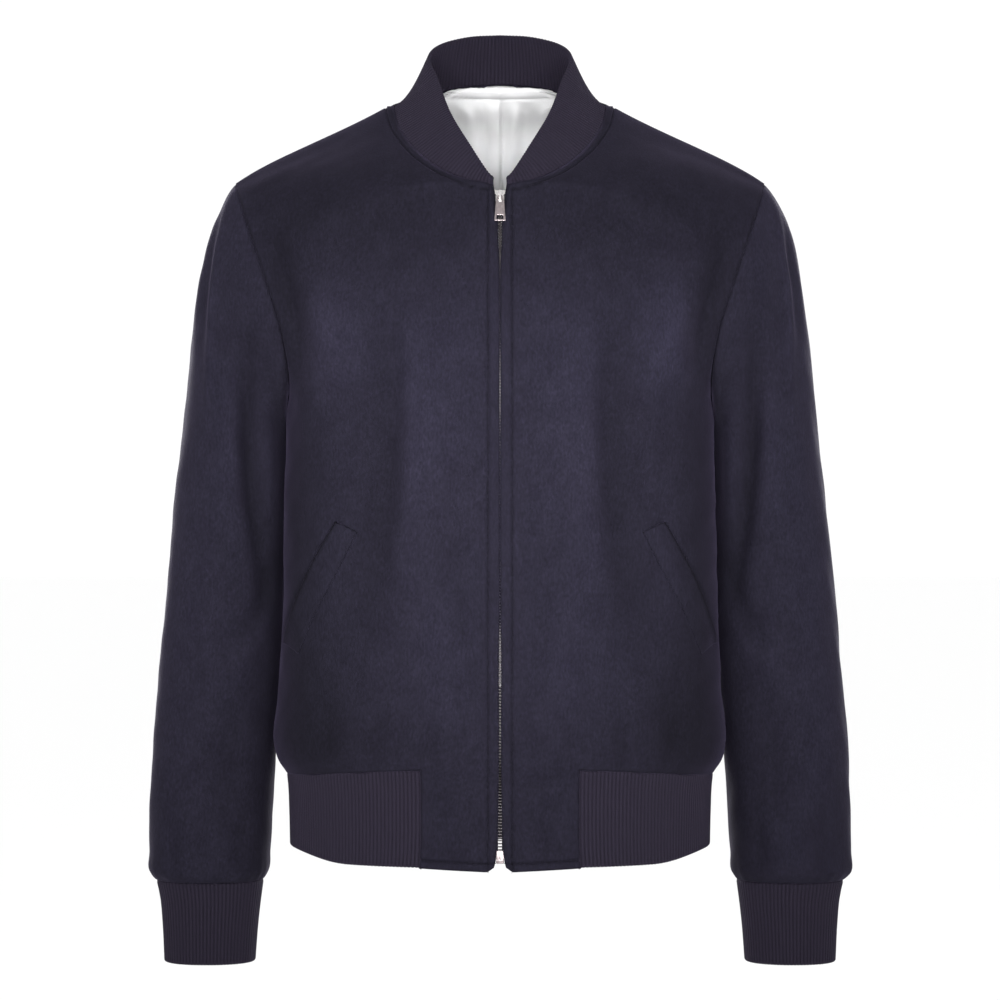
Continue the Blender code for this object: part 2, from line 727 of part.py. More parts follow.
def make_hem_rib(collection):
    """Rib band from tab to tab round the back."""
    grid = []
    for i in range(SEAM_ROW, LAST_ROW + 1):
        front = [panel_point(s, i, True) for s in ACROSS[TAB_COLUMN:]]
        back = [panel_point(s, i, False) for s in ACROSS]
        front[0] = front[0] + (front[1] - front[0]).normalized() * SEAM_PULL
        grid.append(front + list(reversed(back))[1:])
    grid[0] = [point - Vector((0.0, 0.0, SEAM_PULL)) for point in grid[0]]
    wall("hem_rib", grid, RIB_THICK, NAVY_RIB, collection, mirror=True, outside=from_axis)


def make_cuff(name, side, collection):
    stations = armhole_stations()
    grid = [[to_side(ring_point(ring, share, front), side) for share, front in stations]
            for ring in CUFF_RINGS]
    grid[0] = [point - Vector((0.0, 0.0, SEAM_PULL)) for point in grid[0]]
    middle = sum(grid[1], Vector()) / len(grid[1])
    wall(name, grid, RIB_THICK, NAVY_RIB, collection, closed=True,
         outside=lambda centre: Vector((centre.x - middle.x, centre.y - middle.y, 0.0)))


# ---------------------------------------------------------------- lining


def make_lining(collection):
    """White lining of the back, sewn at the neck and hanging just inside the wool."""
    plain = [[panel_row_point(i, False, s, folded=False) for s in ACROSS]
             for i in range(SEAM_ROW + 1)]
    sewn = inset(plain, WOOL_THICK + LINING_GAP)
    slack = inset(plain, WOOL_THICK + LINING_GAP + LINING_SLACK)
    neck_row = len(SHOULDER_ROWS) - 1
    for points in (sewn, slack):
        for j in range(LINING_COLUMNS):
            drop = LINING_NECK_DROP * (1.0 - ACROSS[j])
            points[neck_row][j] = points[neck_row][j].lerp(points[neck_row + 1][j], drop)
    grid = []
    for i in LINING_ROWS:
        share = smoothstep(*LINING_SLACK_ROWS, i)
        grid.append([sewn[i][j].lerp(slack[i][j], share) for j in range(LINING_COLUMNS)])
        if i >= neck_row:
            grid[-1][0].x = 0.0
    wall("back_lining", grid, LINING_THICK, WHITE_LINING, collection, mirror=True,
         outside=from_axis)


# ---------------------------------------------------------------- zip


def behind_front(distance, height, setback):
    """Point behind the flat facets of the front beside its edge, at a distance from the middle."""
    first = len(SHOULDER_ROWS) - 1
    while panel_point(0.0, first + 1, True).z > height and first < LAST_ROW - 1:
        first += 1
    points = []
    for station in ACROSS[:2]:
        upper = panel_point(station, first, True)
        lower = panel_point(station, first + 1, True)
        points.append(upper.lerp(lower, (upper.z - height) / (upper.z - lower.z)))
    edge, beside = points
    share = max((distance + edge.x) / (edge.x - beside.x), 0.0)
    return Vector((distance, edge.lerp(beside, share).y + setback, height))


def zip_heights():
    rows = [panel_point(0.0, i, True).z for i in range(LAST_ROW + 1)]
    return [CHAIN_TOP] + [z for z in rows if CHAIN_BOTTOM < z < CHAIN_TOP] + [CHAIN_BOTTOM]


def zip_strip(name, inner, outer, sign, setback, thickness, finish, collection):
    """Strip that runs down behind the front edges, between two distances from the middle."""
    grid = []
    for height in zip_heights():
        ends = [behind_front(distance, height, setback) for distance in (abs(inner), outer)]
        grid.append([Vector((inner * sign, ends[0].y, height)),
                     Vector((outer * sign, ends[1].y, height))])
    wall(name, grid, thickness, finish, collection, outside=lambda centre: Vector((0, -1, 0)))


def box(name, size, finish, collection, bevel=0.0):
    bpy.ops.mesh.primitive_cube_add(size=1.0)
    piece = bpy.context.object
    piece.name = name
    piece.data.name = name
    piece.data.transform(Matrix.Diagonal((*size, 1.0)))
    for owner in list(piece.users_collection):
        owner.objects.unlink(piece)
    collection.objects.link(piece)
    if finish:
        piece.data.materials.append(make_material(name + "_finish", finish))
    if bevel:
        rounding = piece.modifiers.new("Rounding", "BEVEL")
        rounding.width = bevel
        rounding.segments = 2
    return piece


def combine(piece, other, operation):
    other.hide_render = True
    other.display_type = "WIRE"
    boolean = piece.modifiers.new(operation.title() + " " + other.name, "BOOLEAN")
    boolean.operation = operation
    boolean.object = other


def front_lean():
    """How far the front edges lean back from upright at the slider."""
    upper = behind_front(0.0, SLIDER_HEIGHT + STRIP, 0.0)
    lower = behind_front(0.0, SLIDER_HEIGHT - STRIP, 0.0)
    return atan2(upper.y - lower.y, upper.z - lower.z)


def slider_frame():
    """Place and tilt of the slider's middle, on the middle of the chain."""
    middle = behind_front(0.0, SLIDER_HEIGHT, CHAIN_SETBACK + CHAIN_THICK / 2)
    return Matrix.Translation(middle) @ Matrix.Rotation(-front_lean(), 4, "X")


def at_slider(piece, x, y, z):
    piece.matrix_world = slider_frame() @ Matrix.Translation((x, y, z))


def bridge_middle():
    return Vector((0.0, -SLIDER_SIZE.y / 2 - BRIDGE_SIZE.y / 2, BRIDGE_RISE))


def pull_pin():
    """The pull tab's pin in the slider's frame: it turns inside the bridge."""
    return Vector((0.0, -SLIDER_SIZE.y / 2 - PULL_STANDOFF, BRIDGE_RISE - PULL_PIN_DROP))


def make_slider(collection, cutters):
    slider = box("zip_slider", SLIDER_SIZE, SILVER, collection, bevel=0.0006)
    at_slider(slider, 0.0, 0.0, 0.0)
    channel = box("slider_channel", SLIDER_CHANNEL, None, cutters)
    at_slider(channel, 0.0, 0.0, -(SLIDER_SIZE.z - SLIDER_CHANNEL.z) / 2 - BRIDGE_SINK)
    combine(slider, channel, "DIFFERENCE")
    middle = bridge_middle()
    bridge = box("slider_bridge", BRIDGE_SIZE + Vector((0.0, BRIDGE_SINK, 0.0)), None, cutters)
    at_slider(bridge, 0.0, middle.y + BRIDGE_SINK / 2, middle.z)
    window = box("bridge_window", BRIDGE_WINDOW, None, cutters)
    at_slider(window, 0.0, -(SLIDER_SIZE.y + BRIDGE_WINDOW.y) / 2, middle.z)
    combine(bridge, window, "DIFFERENCE")
    combine(slider, bridge, "UNION")


def make_pull(collection, cutters):
    """Pull tab: a pin through the bridge, two arms and a plate with a slot near its foot."""
    mesh = bpy.data.meshes.new("pull_tab")
    bm = bmesh.new()
    top, foot = PULL_PIN / 2, PULL_PIN / 2 - PULL_LENGTH
    outline = (
        (PULL_TOP_WIDTH / 2, top),
        (PULL_FOOT_WIDTH / 2, foot + PULL_CORNER),
        (PULL_FOOT_WIDTH / 2 - PULL_CORNER, foot),
    )
    right = [bm.verts.new((x, 0.0, z)) for x, z in outline]
    left = [bm.verts.new((-x, 0.0, z)) for x, z in reversed(outline)]
    bm.faces.new(right + left)
    bm.to_mesh(mesh)
    bm.free()
    pull = add_object("pull_tab", mesh, SILVER, collection)
    pin = pull_pin()
    at_slider(pull, *pin)
    plate = pull.modifiers.new("Plate", "SOLIDIFY")
    plate.thickness = PULL_THICK
    plate.offset = 0.0
    eye = box("pull_eye", PULL_EYE, None, cutters)
    at_slider(eye, pin.x, pin.y, pin.z - PULL_PIN / 2 - PULL_EYE.z / 2)
    combine(pull, eye, "DIFFERENCE")
    slot = box("pull_slot", PULL_SLOT, None, cutters)
    at_slider(slot, pin.x, pin.y, pin.z + foot + PULL_SLOT_LIFT + PULL_SLOT.z / 2)
    combine(pull, slot, "DIFFERENCE")


def make_zip(collection, cutters):
    zip_strip("zip_chain", -TOOTH_HALF_WIDTH, TOOTH_HALF_WIDTH, 1, CHAIN_SETBACK, CHAIN_THICK,
              DARK_METAL, collection)
    inner = TOOTH_HALF_WIDTH + SEAM_GAP
    setback = WOOL_THICK + LAYER_GAP
    for name, sign in (("right", -1), ("left", 1)):
        zip_strip("zip_tape_" + name, inner, ZIP_TAPE_REACH, sign, setback, TAPE_THICK, NAVY_TAPE,
                  collection)
    make_slider(collection, cutters)
    make_pull(collection, cutters)
    stop = box("zip_box", BOX_SIZE, SILVER, collection, bevel=0.0006)
    stop.location = behind_front(0.0, CHAIN_BOTTOM - SEAM_GAP - BOX_SIZE.z / 2,
                                 CHAIN_SETBACK + CHAIN_THICK / 2)


# ---------------------------------------------------------------- the jacket


def main():
    for thing in list(bpy.data.objects):
        bpy.data.objects.remove(thing)
    jacket = bpy.data.collections.new("bomber_jacket")
    cutters = bpy.data.collections.new("cutters")
    bpy.context.scene.collection.children.link(jacket)
    bpy.context.scene.collection.children.link(cutters)
    for name, side in (("right", -1), ("left", 1)):
        make_front("front_" + name, side, jacket)
        make_sleeve("sleeve_" + name, side, jacket)
        make_cuff("cuff_" + name, side, jacket)
        make_welt("pocket_welt_" + name, side, jacket)
    make_back(jacket)
    make_collar(jacket)
    make_hem_rib(jacket)
    make_lining(jacket)
    make_zip(jacket, cutters)


main()
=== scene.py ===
"""Looks of a men's wool bomber jacket with rib knit trims, hollow and filled out as if worn.

Metres, +Z up. The front faces -Y, the wearer's left is +X, and the origin is the middle of the
neck at the height of the side neck points. The surface functions repeat the part's own form on a
finer net, and folds, seams, ribs and stitches are moved out of it or into it.
"""

from collections import namedtuple
from math import pi, radians

import bmesh
import bpy
import numpy as np
from mathutils import Matrix, Vector
from mathutils.bvhtree import BVHTree


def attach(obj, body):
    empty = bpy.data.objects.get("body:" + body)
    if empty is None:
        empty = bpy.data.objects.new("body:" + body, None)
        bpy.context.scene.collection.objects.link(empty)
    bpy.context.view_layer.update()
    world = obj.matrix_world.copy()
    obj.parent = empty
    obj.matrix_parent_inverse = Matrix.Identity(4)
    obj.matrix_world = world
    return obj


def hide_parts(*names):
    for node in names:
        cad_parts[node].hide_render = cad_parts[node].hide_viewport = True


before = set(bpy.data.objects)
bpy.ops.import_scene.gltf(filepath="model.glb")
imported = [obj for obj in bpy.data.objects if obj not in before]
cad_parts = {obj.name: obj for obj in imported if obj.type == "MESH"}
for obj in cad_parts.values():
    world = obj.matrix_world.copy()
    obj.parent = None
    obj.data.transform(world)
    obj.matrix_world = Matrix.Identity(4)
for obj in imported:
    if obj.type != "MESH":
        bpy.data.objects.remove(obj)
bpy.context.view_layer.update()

# ---------------------------------------------------------------- the part's form

WOOL_THICK = 0.0020
RIB_THICK = 0.0032
LINING_THICK = 0.0010
TAPE_THICK = 0.0008
WELT_THICK = 0.0016
STRIP = 0.0030

NECK_HALF_WIDTH = 0.092
NECK_FRONT_DROP = 0.077
NECK_FRONT_REACH = 0.098
NECK_BACK_RISE = 0.028
NECK_BACK_REACH = 0.070
NECK_FRONT_POWER = 1.2
NECK_BACK_POWER = 1.5
NECK_TIP_ANGLE = 86.5

SHOULDER_TIP = (-0.229, 0.006, -0.0675)
UNDERARM = (-0.185, 0.005, -0.268)
SIDE_SEAM_Y = 0.005

Torso = namedtuple("Torso", "height front back half_width")
TORSO = tuple(Torso(*row) for row in (
    (0.028, -0.098, 0.070, 0.180), (-0.020, -0.098, 0.094, 0.182), (-0.077, -0.098, 0.111, 0.183),
    (-0.120, -0.112, 0.118, 0.184), (-0.180, -0.124, 0.122, 0.185), (-0.268, -0.131, 0.120, 0.185),
    (-0.360, -0.132, 0.113, 0.187), (-0.450, -0.130, 0.109, 0.189), (-0.520, -0.129, 0.111, 0.193),
    (-0.552, -0.129, 0.114, 0.196), (-0.567, -0.126, 0.111, 0.192), (-0.578, -0.121, 0.107, 0.185),
    (-0.600, -0.119, 0.106, 0.183), (-0.646, -0.119, 0.107, 0.182),
))

PanelRow = namedtuple("PanelRow", "neck_angle centre_height armhole_share side_height")
SHOULDER_ROWS = tuple(PanelRow(angle, None, share, None) for angle, share in (
    (0.0, 0.00), (2.0, 0.02), (22.0, 0.10), (42.0, 0.20), (60.0, 0.30), (74.0, 0.41),
    (NECK_TIP_ANGLE, 0.52),
))


def chest_rows(*heights):
    """Rows from the centre line to the armhole, the last one at the underarm."""
    return tuple(PanelRow(None, height, share, None)
                 for height, share in zip(heights, (0.64, 0.76, 0.88, 1.00)))


def lower_rows(*heights):
    """Rows from the centre line to the side seam, by their heights at both."""
    return tuple(PanelRow(None, centre, None, side) for centre, side in heights)


FRONT_CHEST_ROWS = chest_rows(-0.115, -0.160, -0.210, -0.262)
BACK_CHEST_ROWS = chest_rows(-0.045, -0.120, -0.195, -0.262)
BODY_ROWS = lower_rows(
    (-0.298, -0.302), (-0.338, -0.342), (-0.382, -0.386), (-0.427, -0.432), (-0.470, -0.477),
    (-0.509, -0.518), (-0.538, -0.549), (-0.555, -0.567), (-0.565, -0.578))
HEM_ROWS = lower_rows((-0.573, -0.585), (-0.606, -0.612), (-0.646, -0.646))
NECK_ROWS = len(SHOULDER_ROWS)
TOP_ROWS = NECK_ROWS + len(FRONT_CHEST_ROWS)
SEAM_ROW = TOP_ROWS + len(BODY_ROWS) - 1
LAST_ROW = SEAM_ROW + len(HEM_ROWS)
NECK_LEAD_DEPTH = 0.30
NECK_LEAD_FALL = 0.42
CENTRE_REACH = 0.34
CENTRE_REACH_LOWER = 0.28
SHOULDER_REACH = 0.30
SIDE_REACH = 0.64
SEAM_TILT = 0.20
ROW_PROBES = np.linspace(0.0, 1.0, 9)
TURN_REACH = 0.24
TAB_STATION = 0.21
TAB_DROP = 0.0050  # how far the tab reaches below the rib beside the zip
TAB_SIDE_DROP = 0.0022  # the same beside the rib

Armhole = namedtuple("Armhole", "x y z panel_turn panel_fall sleeve_turn sleeve_fall")
ARMHOLE_FRONT = tuple(Armhole(*row) for row in (
    (*SHOULDER_TIP, 0, 42, 0, 46), (-0.2250, -0.029, -0.079, 12, 34, 12, 40),
    (-0.2140, -0.055, -0.112, 28, 24, 22, 36), (-0.1990, -0.067, -0.155, 44, 12, 16, 46),
    (-0.1850, -0.065, -0.201, 60, 4, 8, 56), (-0.1800, -0.045, -0.241, 78, 0, 0, 62),
    (*UNDERARM, 90, 0, 0, 66),
))
ARMHOLE_BACK = tuple(Armhole(*row) for row in (
    (*SHOULDER_TIP, 0, 42, 0, 46), (-0.2260, 0.040, -0.079, 12, 34, 12, 40),
    (-0.2180, 0.065, -0.112, 26, 24, 20, 36), (-0.2070, 0.079, -0.155, 42, 12, 14, 46),
    (-0.1960, 0.079, -0.201, 58, 4, 8, 56), (-0.1880, 0.057, -0.243, 78, 0, 0, 62),
    (*UNDERARM, 90, 0, 0, 66),
))

Ring = namedtuple("Ring", "height outer inner depth half_depth")
SLEEVE_RINGS = tuple(Ring(*row) for row in (
    (-0.300, 0.2800, 0.1830, 0.038, 0.070), (-0.345, 0.2850, 0.1842, 0.038, 0.067),
    (-0.395, 0.2905, 0.1853, 0.038, 0.0635), (-0.445, 0.2955, 0.1872, 0.037, 0.060),
    (-0.495, 0.2995, 0.1908, 0.035, 0.057), (-0.545, 0.3035, 0.1950, 0.032, 0.0535),
    (-0.595, 0.3055, 0.1987, 0.027, 0.050), (-0.648, 0.3063, 0.2012, 0.021, 0.047),
    (-0.665, 0.3058, 0.2020, 0.019, 0.0455), (-0.6725, 0.2995, 0.2063, 0.018, 0.0395),
))
CUFF_RINGS = tuple(Ring(*row) for row in (
    (-0.6725, 0.2995, 0.2063, 0.018, 0.0395), (-0.685, 0.2965, 0.2080, 0.017, 0.0368),
    (-0.710, 0.2938, 0.2108, 0.015, 0.0345), (-0.741, 0.2920, 0.2130, 0.012, 0.0325),
))
CAP_STEPS = (0.20, 0.42, 0.66, 0.84)
CAP_REACH = 0.145
CAP_REACH_LEAST = 0.011
CAP_RISE = 0.42
CAP_RIDGE = (0.30, 0.55)
RING_SQUARENESS = 0.92

Collar = namedtuple("Collar", "seam_angle x y z")
COLLAR = tuple(Collar(*row) for row in (
    (-NECK_TIP_ANGLE, -0.0072, -0.1005, -0.0750), (-60.0, -0.0258, -0.0845, -0.0450),
    (-30.0, -0.0440, -0.0530, -0.0120), (0.0, -0.0560, -0.0130, 0.0220),
    (22.0, -0.0632, 0.0120, 0.0415), (50.0, -0.0520, 0.0400, 0.0585),
    (70.0, -0.0275, 0.0520, 0.0662), (90.0, 0.0000, 0.0550, 0.0682),
))
COLLAR_BULGE = 0.0015
COLLAR_BULGE_LIFT = 0.05
COLLAR_FULL_HEIGHT = 0.045
COLLAR_FLARE = 0.0030  # how far its sides curve in above the seam
COLLAR_FLARE_ANGLE, COLLAR_FLARE_SPREAD = 6.0, 40.0
COLLAR_SHARES = np.concatenate([[0.0, 0.03, 0.08], np.linspace(0.18, 1.0, 7)])
COLLAR_FOOT = 0.0015  # how far its front ends reach below the seam line
COLLAR_FOOT_ANGLES = (58.0, 76.0)

LEAST_SPREAD = 0.10  # a front's columns stay in order beside its edge
FrontEdge = namedtuple("FrontEdge", "height half_gap")
FRONT_EDGES = tuple(FrontEdge(*row) for row in (
    (-0.070, 0.0056), (-0.0765, 0.0050), (-0.0815, 0.0031), (-0.0860, 0.0040), (-0.098, 0.0042),
    (-0.110, 0.0026), (-0.122, 0.0018), (-0.134, 0.0011), (-0.146, 0.0005), (-0.160, 0.0002),
    (-0.200, 0.0001), (-0.235, 0.0004), (-0.262, 0.0004), (-0.290, 0.0001), (-0.440, 0.0001),
    (-0.470, 0.0009), (-0.550, 0.0008), (-0.600, 0.0016), (-0.625, 0.0024), (-0.651, 0.0056),
))

Welt = namedtuple("Welt", "opening_x opening_z sewn_x sewn_z")
WELT = tuple(Welt(*row) for row in (
    (0.1360, -0.3600, 0.1186, -0.3685), (0.1560, -0.3950, 0.1370, -0.4040),
    (0.1717, -0.4300, 0.1553, -0.4380), (0.1835, -0.4640, 0.1705, -0.4730),
))

# ---------------------------------------------------------------- sizes of the finer detail

NET_PITCH = 0.0030  # between the points of a cloth net
EDGE_STATIONS = (0.0, 0.0012, 0.0030, 0.0055, 0.0090)
STITCH_STATIONS = (0.0140, 0.0190, 0.0240, 0.0285, 0.0320, 0.0350, 0.0380, 0.0410, 0.0440, 0.0470,
                   0.0500, 0.0530, 0.0560, 0.0600, 0.0660, 0.0740)
SEAM_ROLL = 0.0020  # radius over which cloth turns into a seam
SEAM_DEPTH = 0.0011
SHOULDER_DEPTH = 0.0005
EDGE_ROLL = 0.0016
EDGE_DEPTH = 0.0008
STITCH_GROOVE = 0.0012  # half width of the dent that a row of stitches pulls
STITCH_DEPTH = 0.0012
BAND_RISE = 0.0006
PLACKET_STITCH = 0.0092  # from the closed front edge
PLACKET_INSET = 0.0008
PLACKET_TOP = -0.088  # height where its stitches start below the neck seam
NECK_STITCH = 0.0070  # from the neck seam
TAB_HEM_STITCH = 0.0070  # up from the tab's bottom edge
STITCH_PITCH = 0.0031
STITCH_LENGTH = 0.0024
THREAD_RADIUS = 0.00028
STITCH_LIFT = 0.00012

RIB_PITCH = 0.0034
RIB_HEIGHT = 0.0006
RIB_POINTS = 6
RIB_SHARPNESS = 0.62
RIB_MIDDLE = 0.75  # share of a rib's height that stands inside the plain surface
FOLD_STEPS = 6
BAND_ROWS = 9
BAND_END_ROLL = 0.0022
BAND_TUCK = 0.42  # how much thinner the knit is where it goes into its seam
BAND_TUCK_REACH = 0.0016

TOOTH_PITCH = 0.00254
TOOTH_HALF_HEIGHT = 0.00062
CHAIN_TOP = -0.0883
CHAIN_BOTTOM = -0.6330
CHAIN_SETBACK = 0.0026
CHAIN_THICK = 0.0022
TAPE_COLUMNS = (0.0016, 0.0022, 0.0030, 0.0040, 0.0052, 0.0080, 0.0110, 0.0140, 0.0155)
TAPE_GAP = 0.0006  # between a tape and the front that it lies behind
TAPE_CORD = 0.0004  # how far its corded edge stands forward, in its second column

# ---------------------------------------------------------------- tables and curves


def smooth(low, high, value):
    share = np.clip((np.asarray(value, float) - low) / (high - low), 0.0, 1.0)
    return share * share * (3.0 - 2.0 * share)


def cubic_at(values, place):
    """Smooth values at fractional places in a list whose first axis is the place."""
    values = np.asarray(values, float)
    place = np.atleast_1d(np.asarray(place, float))
    last = len(values) - 1
    ends = np.concatenate([2 * values[:1] - values[1:2], values, 2 * values[-1:] - values[-2:-1]])
    i = np.clip(place.astype(int), 0, last - 1)
    s = (place - i).reshape((-1,) + (1,) * (values.ndim - 1))
    before, start, end, after = ends[i], ends[i + 1], ends[i + 2], ends[i + 3]
    return (
        start * (2 * s**3 - 3 * s**2 + 1)
        + (end - before) * 0.5 * (s**3 - 2 * s**2 + s)
        + end * (3 * s**2 - 2 * s**3)
        + (after - start) * 0.5 * (s**3 - s**2)
    )


def cubic_through(points, stops, places):
    """Smooth curve through points at uneven stops, at the given places."""
    i = np.clip(np.searchsorted(stops, places, "right") - 1, 0, len(stops) - 2)
    slopes = np.gradient(points, stops, axis=0)
    span = (stops[i + 1] - stops[i]).reshape((-1,) + (1,) * (points.ndim - 1))
    s = ((places - stops[i]) / (stops[i + 1] - stops[i])).reshape(span.shape)
    return (
        points[i] * (2 * s**3 - 3 * s**2 + 1)
        + slopes[i] * span * (s**3 - 2 * s**2 + s)
        + points[i + 1] * (3 * s**2 - 2 * s**3)
        + slopes[i + 1] * span * (s**3 - s**2)
    )


def column(table, name):
    return np.array([getattr(row, name) for row in table], float)


def at_height(table, name, height):
    heights = column(table, "height")
    place = np.interp(-np.atleast_1d(height), -heights, np.arange(len(heights)))
    return cubic_at(column(table, name), place)


def bezier(start, reach_in, reach_out, end, share):
    s = share
    r = 1.0 - s
    return (
        start * r**3
        + (start + reach_in) * (3 * r * r * s)
        + (end + reach_out) * (3 * r * s * s)
        + end * s**3
    )


def run_along(path):
    """How far along a path each of its points lies."""
    return np.concatenate([[0.0], np.cumsum(np.linalg.norm(np.diff(path, axis=0), axis=-1))])


def run_down(net):
    """How far down a net each of its rows lies, on average."""
    lengths = np.linalg.norm(np.diff(net, axis=0), axis=-1).mean(axis=1)
    return np.concatenate([[0.0], np.cumsum(lengths)])


def unit(vectors):
    return vectors / np.maximum(np.linalg.norm(vectors, axis=-1, keepdims=True), 1e-12)


def turned(turn, fall, towards):
    turn, fall = np.radians(turn), np.radians(fall)
    return np.stack(
        [-np.cos(turn) * np.cos(fall), towards * np.sin(turn) * np.cos(fall), -np.sin(fall)], -1
    )


def neck_point(angle, front):
    c, s = np.cos(np.radians(angle)), np.sin(np.radians(angle))
    reach = -NECK_FRONT_REACH if front else NECK_BACK_REACH
    power = NECK_FRONT_POWER if front else NECK_BACK_POWER
    rise = -NECK_FRONT_DROP if front else NECK_BACK_RISE
    return np.stack([-NECK_HALF_WIDTH * c, reach * s, rise * np.abs(s) ** power], -1)


def armhole_point(share, front):
    table = ARMHOLE_FRONT if front else ARMHOLE_BACK
    points = np.stack([column(table, axis) for axis in "xyz"], -1)
    return cubic_at(points, np.asarray(share) * (len(table) - 1))


def armhole_lead(share, front, kind):
    table = ARMHOLE_FRONT if front else ARMHOLE_BACK
    place = np.asarray(share) * (len(table) - 1)
    turn = cubic_at(column(table, kind + "_turn"), place)
    fall = cubic_at(column(table, kind + "_fall"), place)
    return turned(turn, fall, 1.0 if front else -1.0)


def panel_rows(front):
    chest = FRONT_CHEST_ROWS if front else BACK_CHEST_ROWS
    if front:
        return SHOULDER_ROWS + chest + BODY_ROWS + HEM_ROWS
    neck = SHOULDER_ROWS[:-1] + (SHOULDER_ROWS[-1]._replace(neck_angle=90.0),)
    return neck + chest + BODY_ROWS + HEM_ROWS


def row_curve(row, index, front, stations):
    """Points on one row of a panel of the wearer's right half, from its centre to its side."""
    sign = -1.0 if front else 1.0
    low = float(smooth(1.0, TOP_ROWS - 1.0, index))
    if row.neck_angle is not None:
        start = neck_point(row.neck_angle, front)
        flat = float(smooth(0.0, 90.0, row.neck_angle))
        depth_lead = sign * NECK_LEAD_DEPTH * np.sin(np.radians(2 * row.neck_angle))
        lead_in = np.array([-1.0, depth_lead, -NECK_LEAD_FALL * (1 - flat)])
    else:
        depth = at_height(TORSO, "front" if front else "back", row.centre_height)[0]
        start = np.array([0.0, depth, row.centre_height])
        lead_in = np.array([-1.0, 0.0, 0.0])
    if row.armhole_share is not None:
        end = armhole_point(row.armhole_share, front)[0]
        lead_out = armhole_lead(row.armhole_share, front, "panel")[0]
    else:
        half_width = at_height(TORSO, "half_width", row.side_height)[0]
        end = np.array([-half_width, SIDE_SEAM_Y, row.side_height])
        lead_out = np.array([0.0, -sign, 0.0])
    width, thick = abs(end[0] - start[0]), abs(end[1] - start[1])
    reach_in = lead_in * width * (CENTRE_REACH + CENTRE_REACH_LOWER * low)
    reach_out = lead_out * -(SHOULDER_REACH * width * (1 - low) + SIDE_REACH * thick * low)
    return bezier(start, reach_in, reach_out, end, stations[:, None])


def row_stops(front):
    """How far down a panel each of its rows lies."""
    return run_down([panel_row(index, front, ROW_PROBES) for index in range(LAST_ROW + 1)])


def panel_row(index, front, stations):
    row = panel_rows(front)[index]
    if index != 1:
        return row_curve(row, index, front, stations)
    sign = -1.0 if front else 1.0
    tilt = sign * SEAM_TILT * (1.0 - stations)
    side = np.stack([0.0 * tilt, sign + 0.0 * tilt, tilt], -1)
    return row_curve(SHOULDER_ROWS[0], 0, front, stations) + side * STRIP


def panel_net(front, stations, places):
    """Plain surface of a panel's right half: a net of points with its rows at given places."""
    rows = np.array([panel_row(index, front, stations) for index in range(LAST_ROW + 1)])
    stops = row_stops(front)
    places = np.asarray(places, float)
    at = np.interp(places, np.arange(LAST_ROW + 1.0), stops)
    net = cubic_through(rows, stops, at)
    turn = NECK_ROWS - 1  # beside the middle, rows turn here from the neck to the centre line
    above = cubic_through(rows[:turn + 1], stops[:turn + 1], np.minimum(at, stops[turn]))
    below = cubic_through(rows[turn:], stops[turn:], np.maximum(at, stops[turn]))
    apart = np.where((at <= stops[turn])[:, None, None], above, below)
    net += (apart - net) * (1.0 - smooth(0.0, TURN_REACH, stations))[:, None]
    if front:
        gap = at_height(FRONT_EDGES, "half_gap", net[..., 2].ravel()).reshape(net.shape[:2])
        net[:, 1:, 0] -= (gap * (1 - stations) ** 3)[:, 1:]
        net[:, 0, 0] = np.minimum(net[:, 0, 0], -gap[:, 0])
        spread = LEAST_SPREAD * (stations - stations[0])
        net[..., 0] = np.minimum(net[..., 0], net[:, :1, 0] - spread)
        across = np.clip(stations / TAB_STATION, 0.0, 1.0)
        fall = (TAB_DROP + (TAB_SIDE_DROP - TAB_DROP) * across) * (stations <= TAB_STATION + 1e-6)
        net[..., 2] -= fall * smooth(SEAM_ROW, LAST_ROW, places)[:, None]
    return net


# ---------------------------------------------------------------- nets


FAR = 1e9  # further than any point of the jacket


def steps_between(stops, lengths, pitch):
    """Stops with more places between them, about a pitch apart."""
    places = []
    for start, end, length in zip(stops[:-1], stops[1:], lengths):
        count = max(int(np.ceil(length / pitch)), 1)
        places.append(np.linspace(start, end, count, endpoint=False))
    return np.concatenate(places + [np.array([stops[-1]])])


def fine_places(front, last):
    """Fractional rows of a panel down to its last one, about a net's pitch apart."""
    coarse = panel_net(front, np.linspace(0.0, 1.0, 5), np.arange(LAST_ROW + 1.0))
    lengths = np.linalg.norm(np.diff(coarse, axis=0), axis=-1).max(axis=1)
    return steps_between(np.arange(last + 1.0), lengths[:last], NET_PITCH)


def net_normals(net, centre, closed=False):
    """Directions out of a net, away from a centre line that runs up and down."""
    if closed:
        across = np.roll(net, -1, axis=1) - np.roll(net, 1, axis=1)
    else:
        across = np.gradient(net, axis=1)
    normals = unit(np.cross(np.gradient(net, axis=0), across))
    away = (net - centre) * np.array([1.0, 1.0, 0.0])
    return normals if (normals * away).sum() > 0.0 else -normals


def path_distance(net, path):
    """Distance of each point of a net from a path, and how far along the path it is nearest."""
    points = net.reshape(-1, 3)
    best = np.full(len(points), FAR)
    where = np.zeros(len(points))
    run = run_along(path)
    for i in range(len(path) - 1):
        leg = path[i + 1] - path[i]
        share = np.clip((points - path[i]) @ leg / max(leg @ leg, 1e-12), 0.0, 1.0)
        away = np.linalg.norm(points - path[i] - share[:, None] * leg, axis=1)
        nearer = away < best
        best[nearer] = away[nearer]
        where[nearer] = (run[i] + share * (run[i + 1] - run[i]))[nearer]
    return best.reshape(net.shape[:2]), where.reshape(net.shape[:2])


def distance_from(net, path):
    return path_distance(net, path)[0]


def rolled(distance, radius, depth):
    """How far cloth drops beside an edge that it turns over."""
    share = np.clip(1.0 - distance / radius, 0.0, 1.0)
    return -depth * (1.0 - np.sqrt(1.0 - 0.98 * share * share))


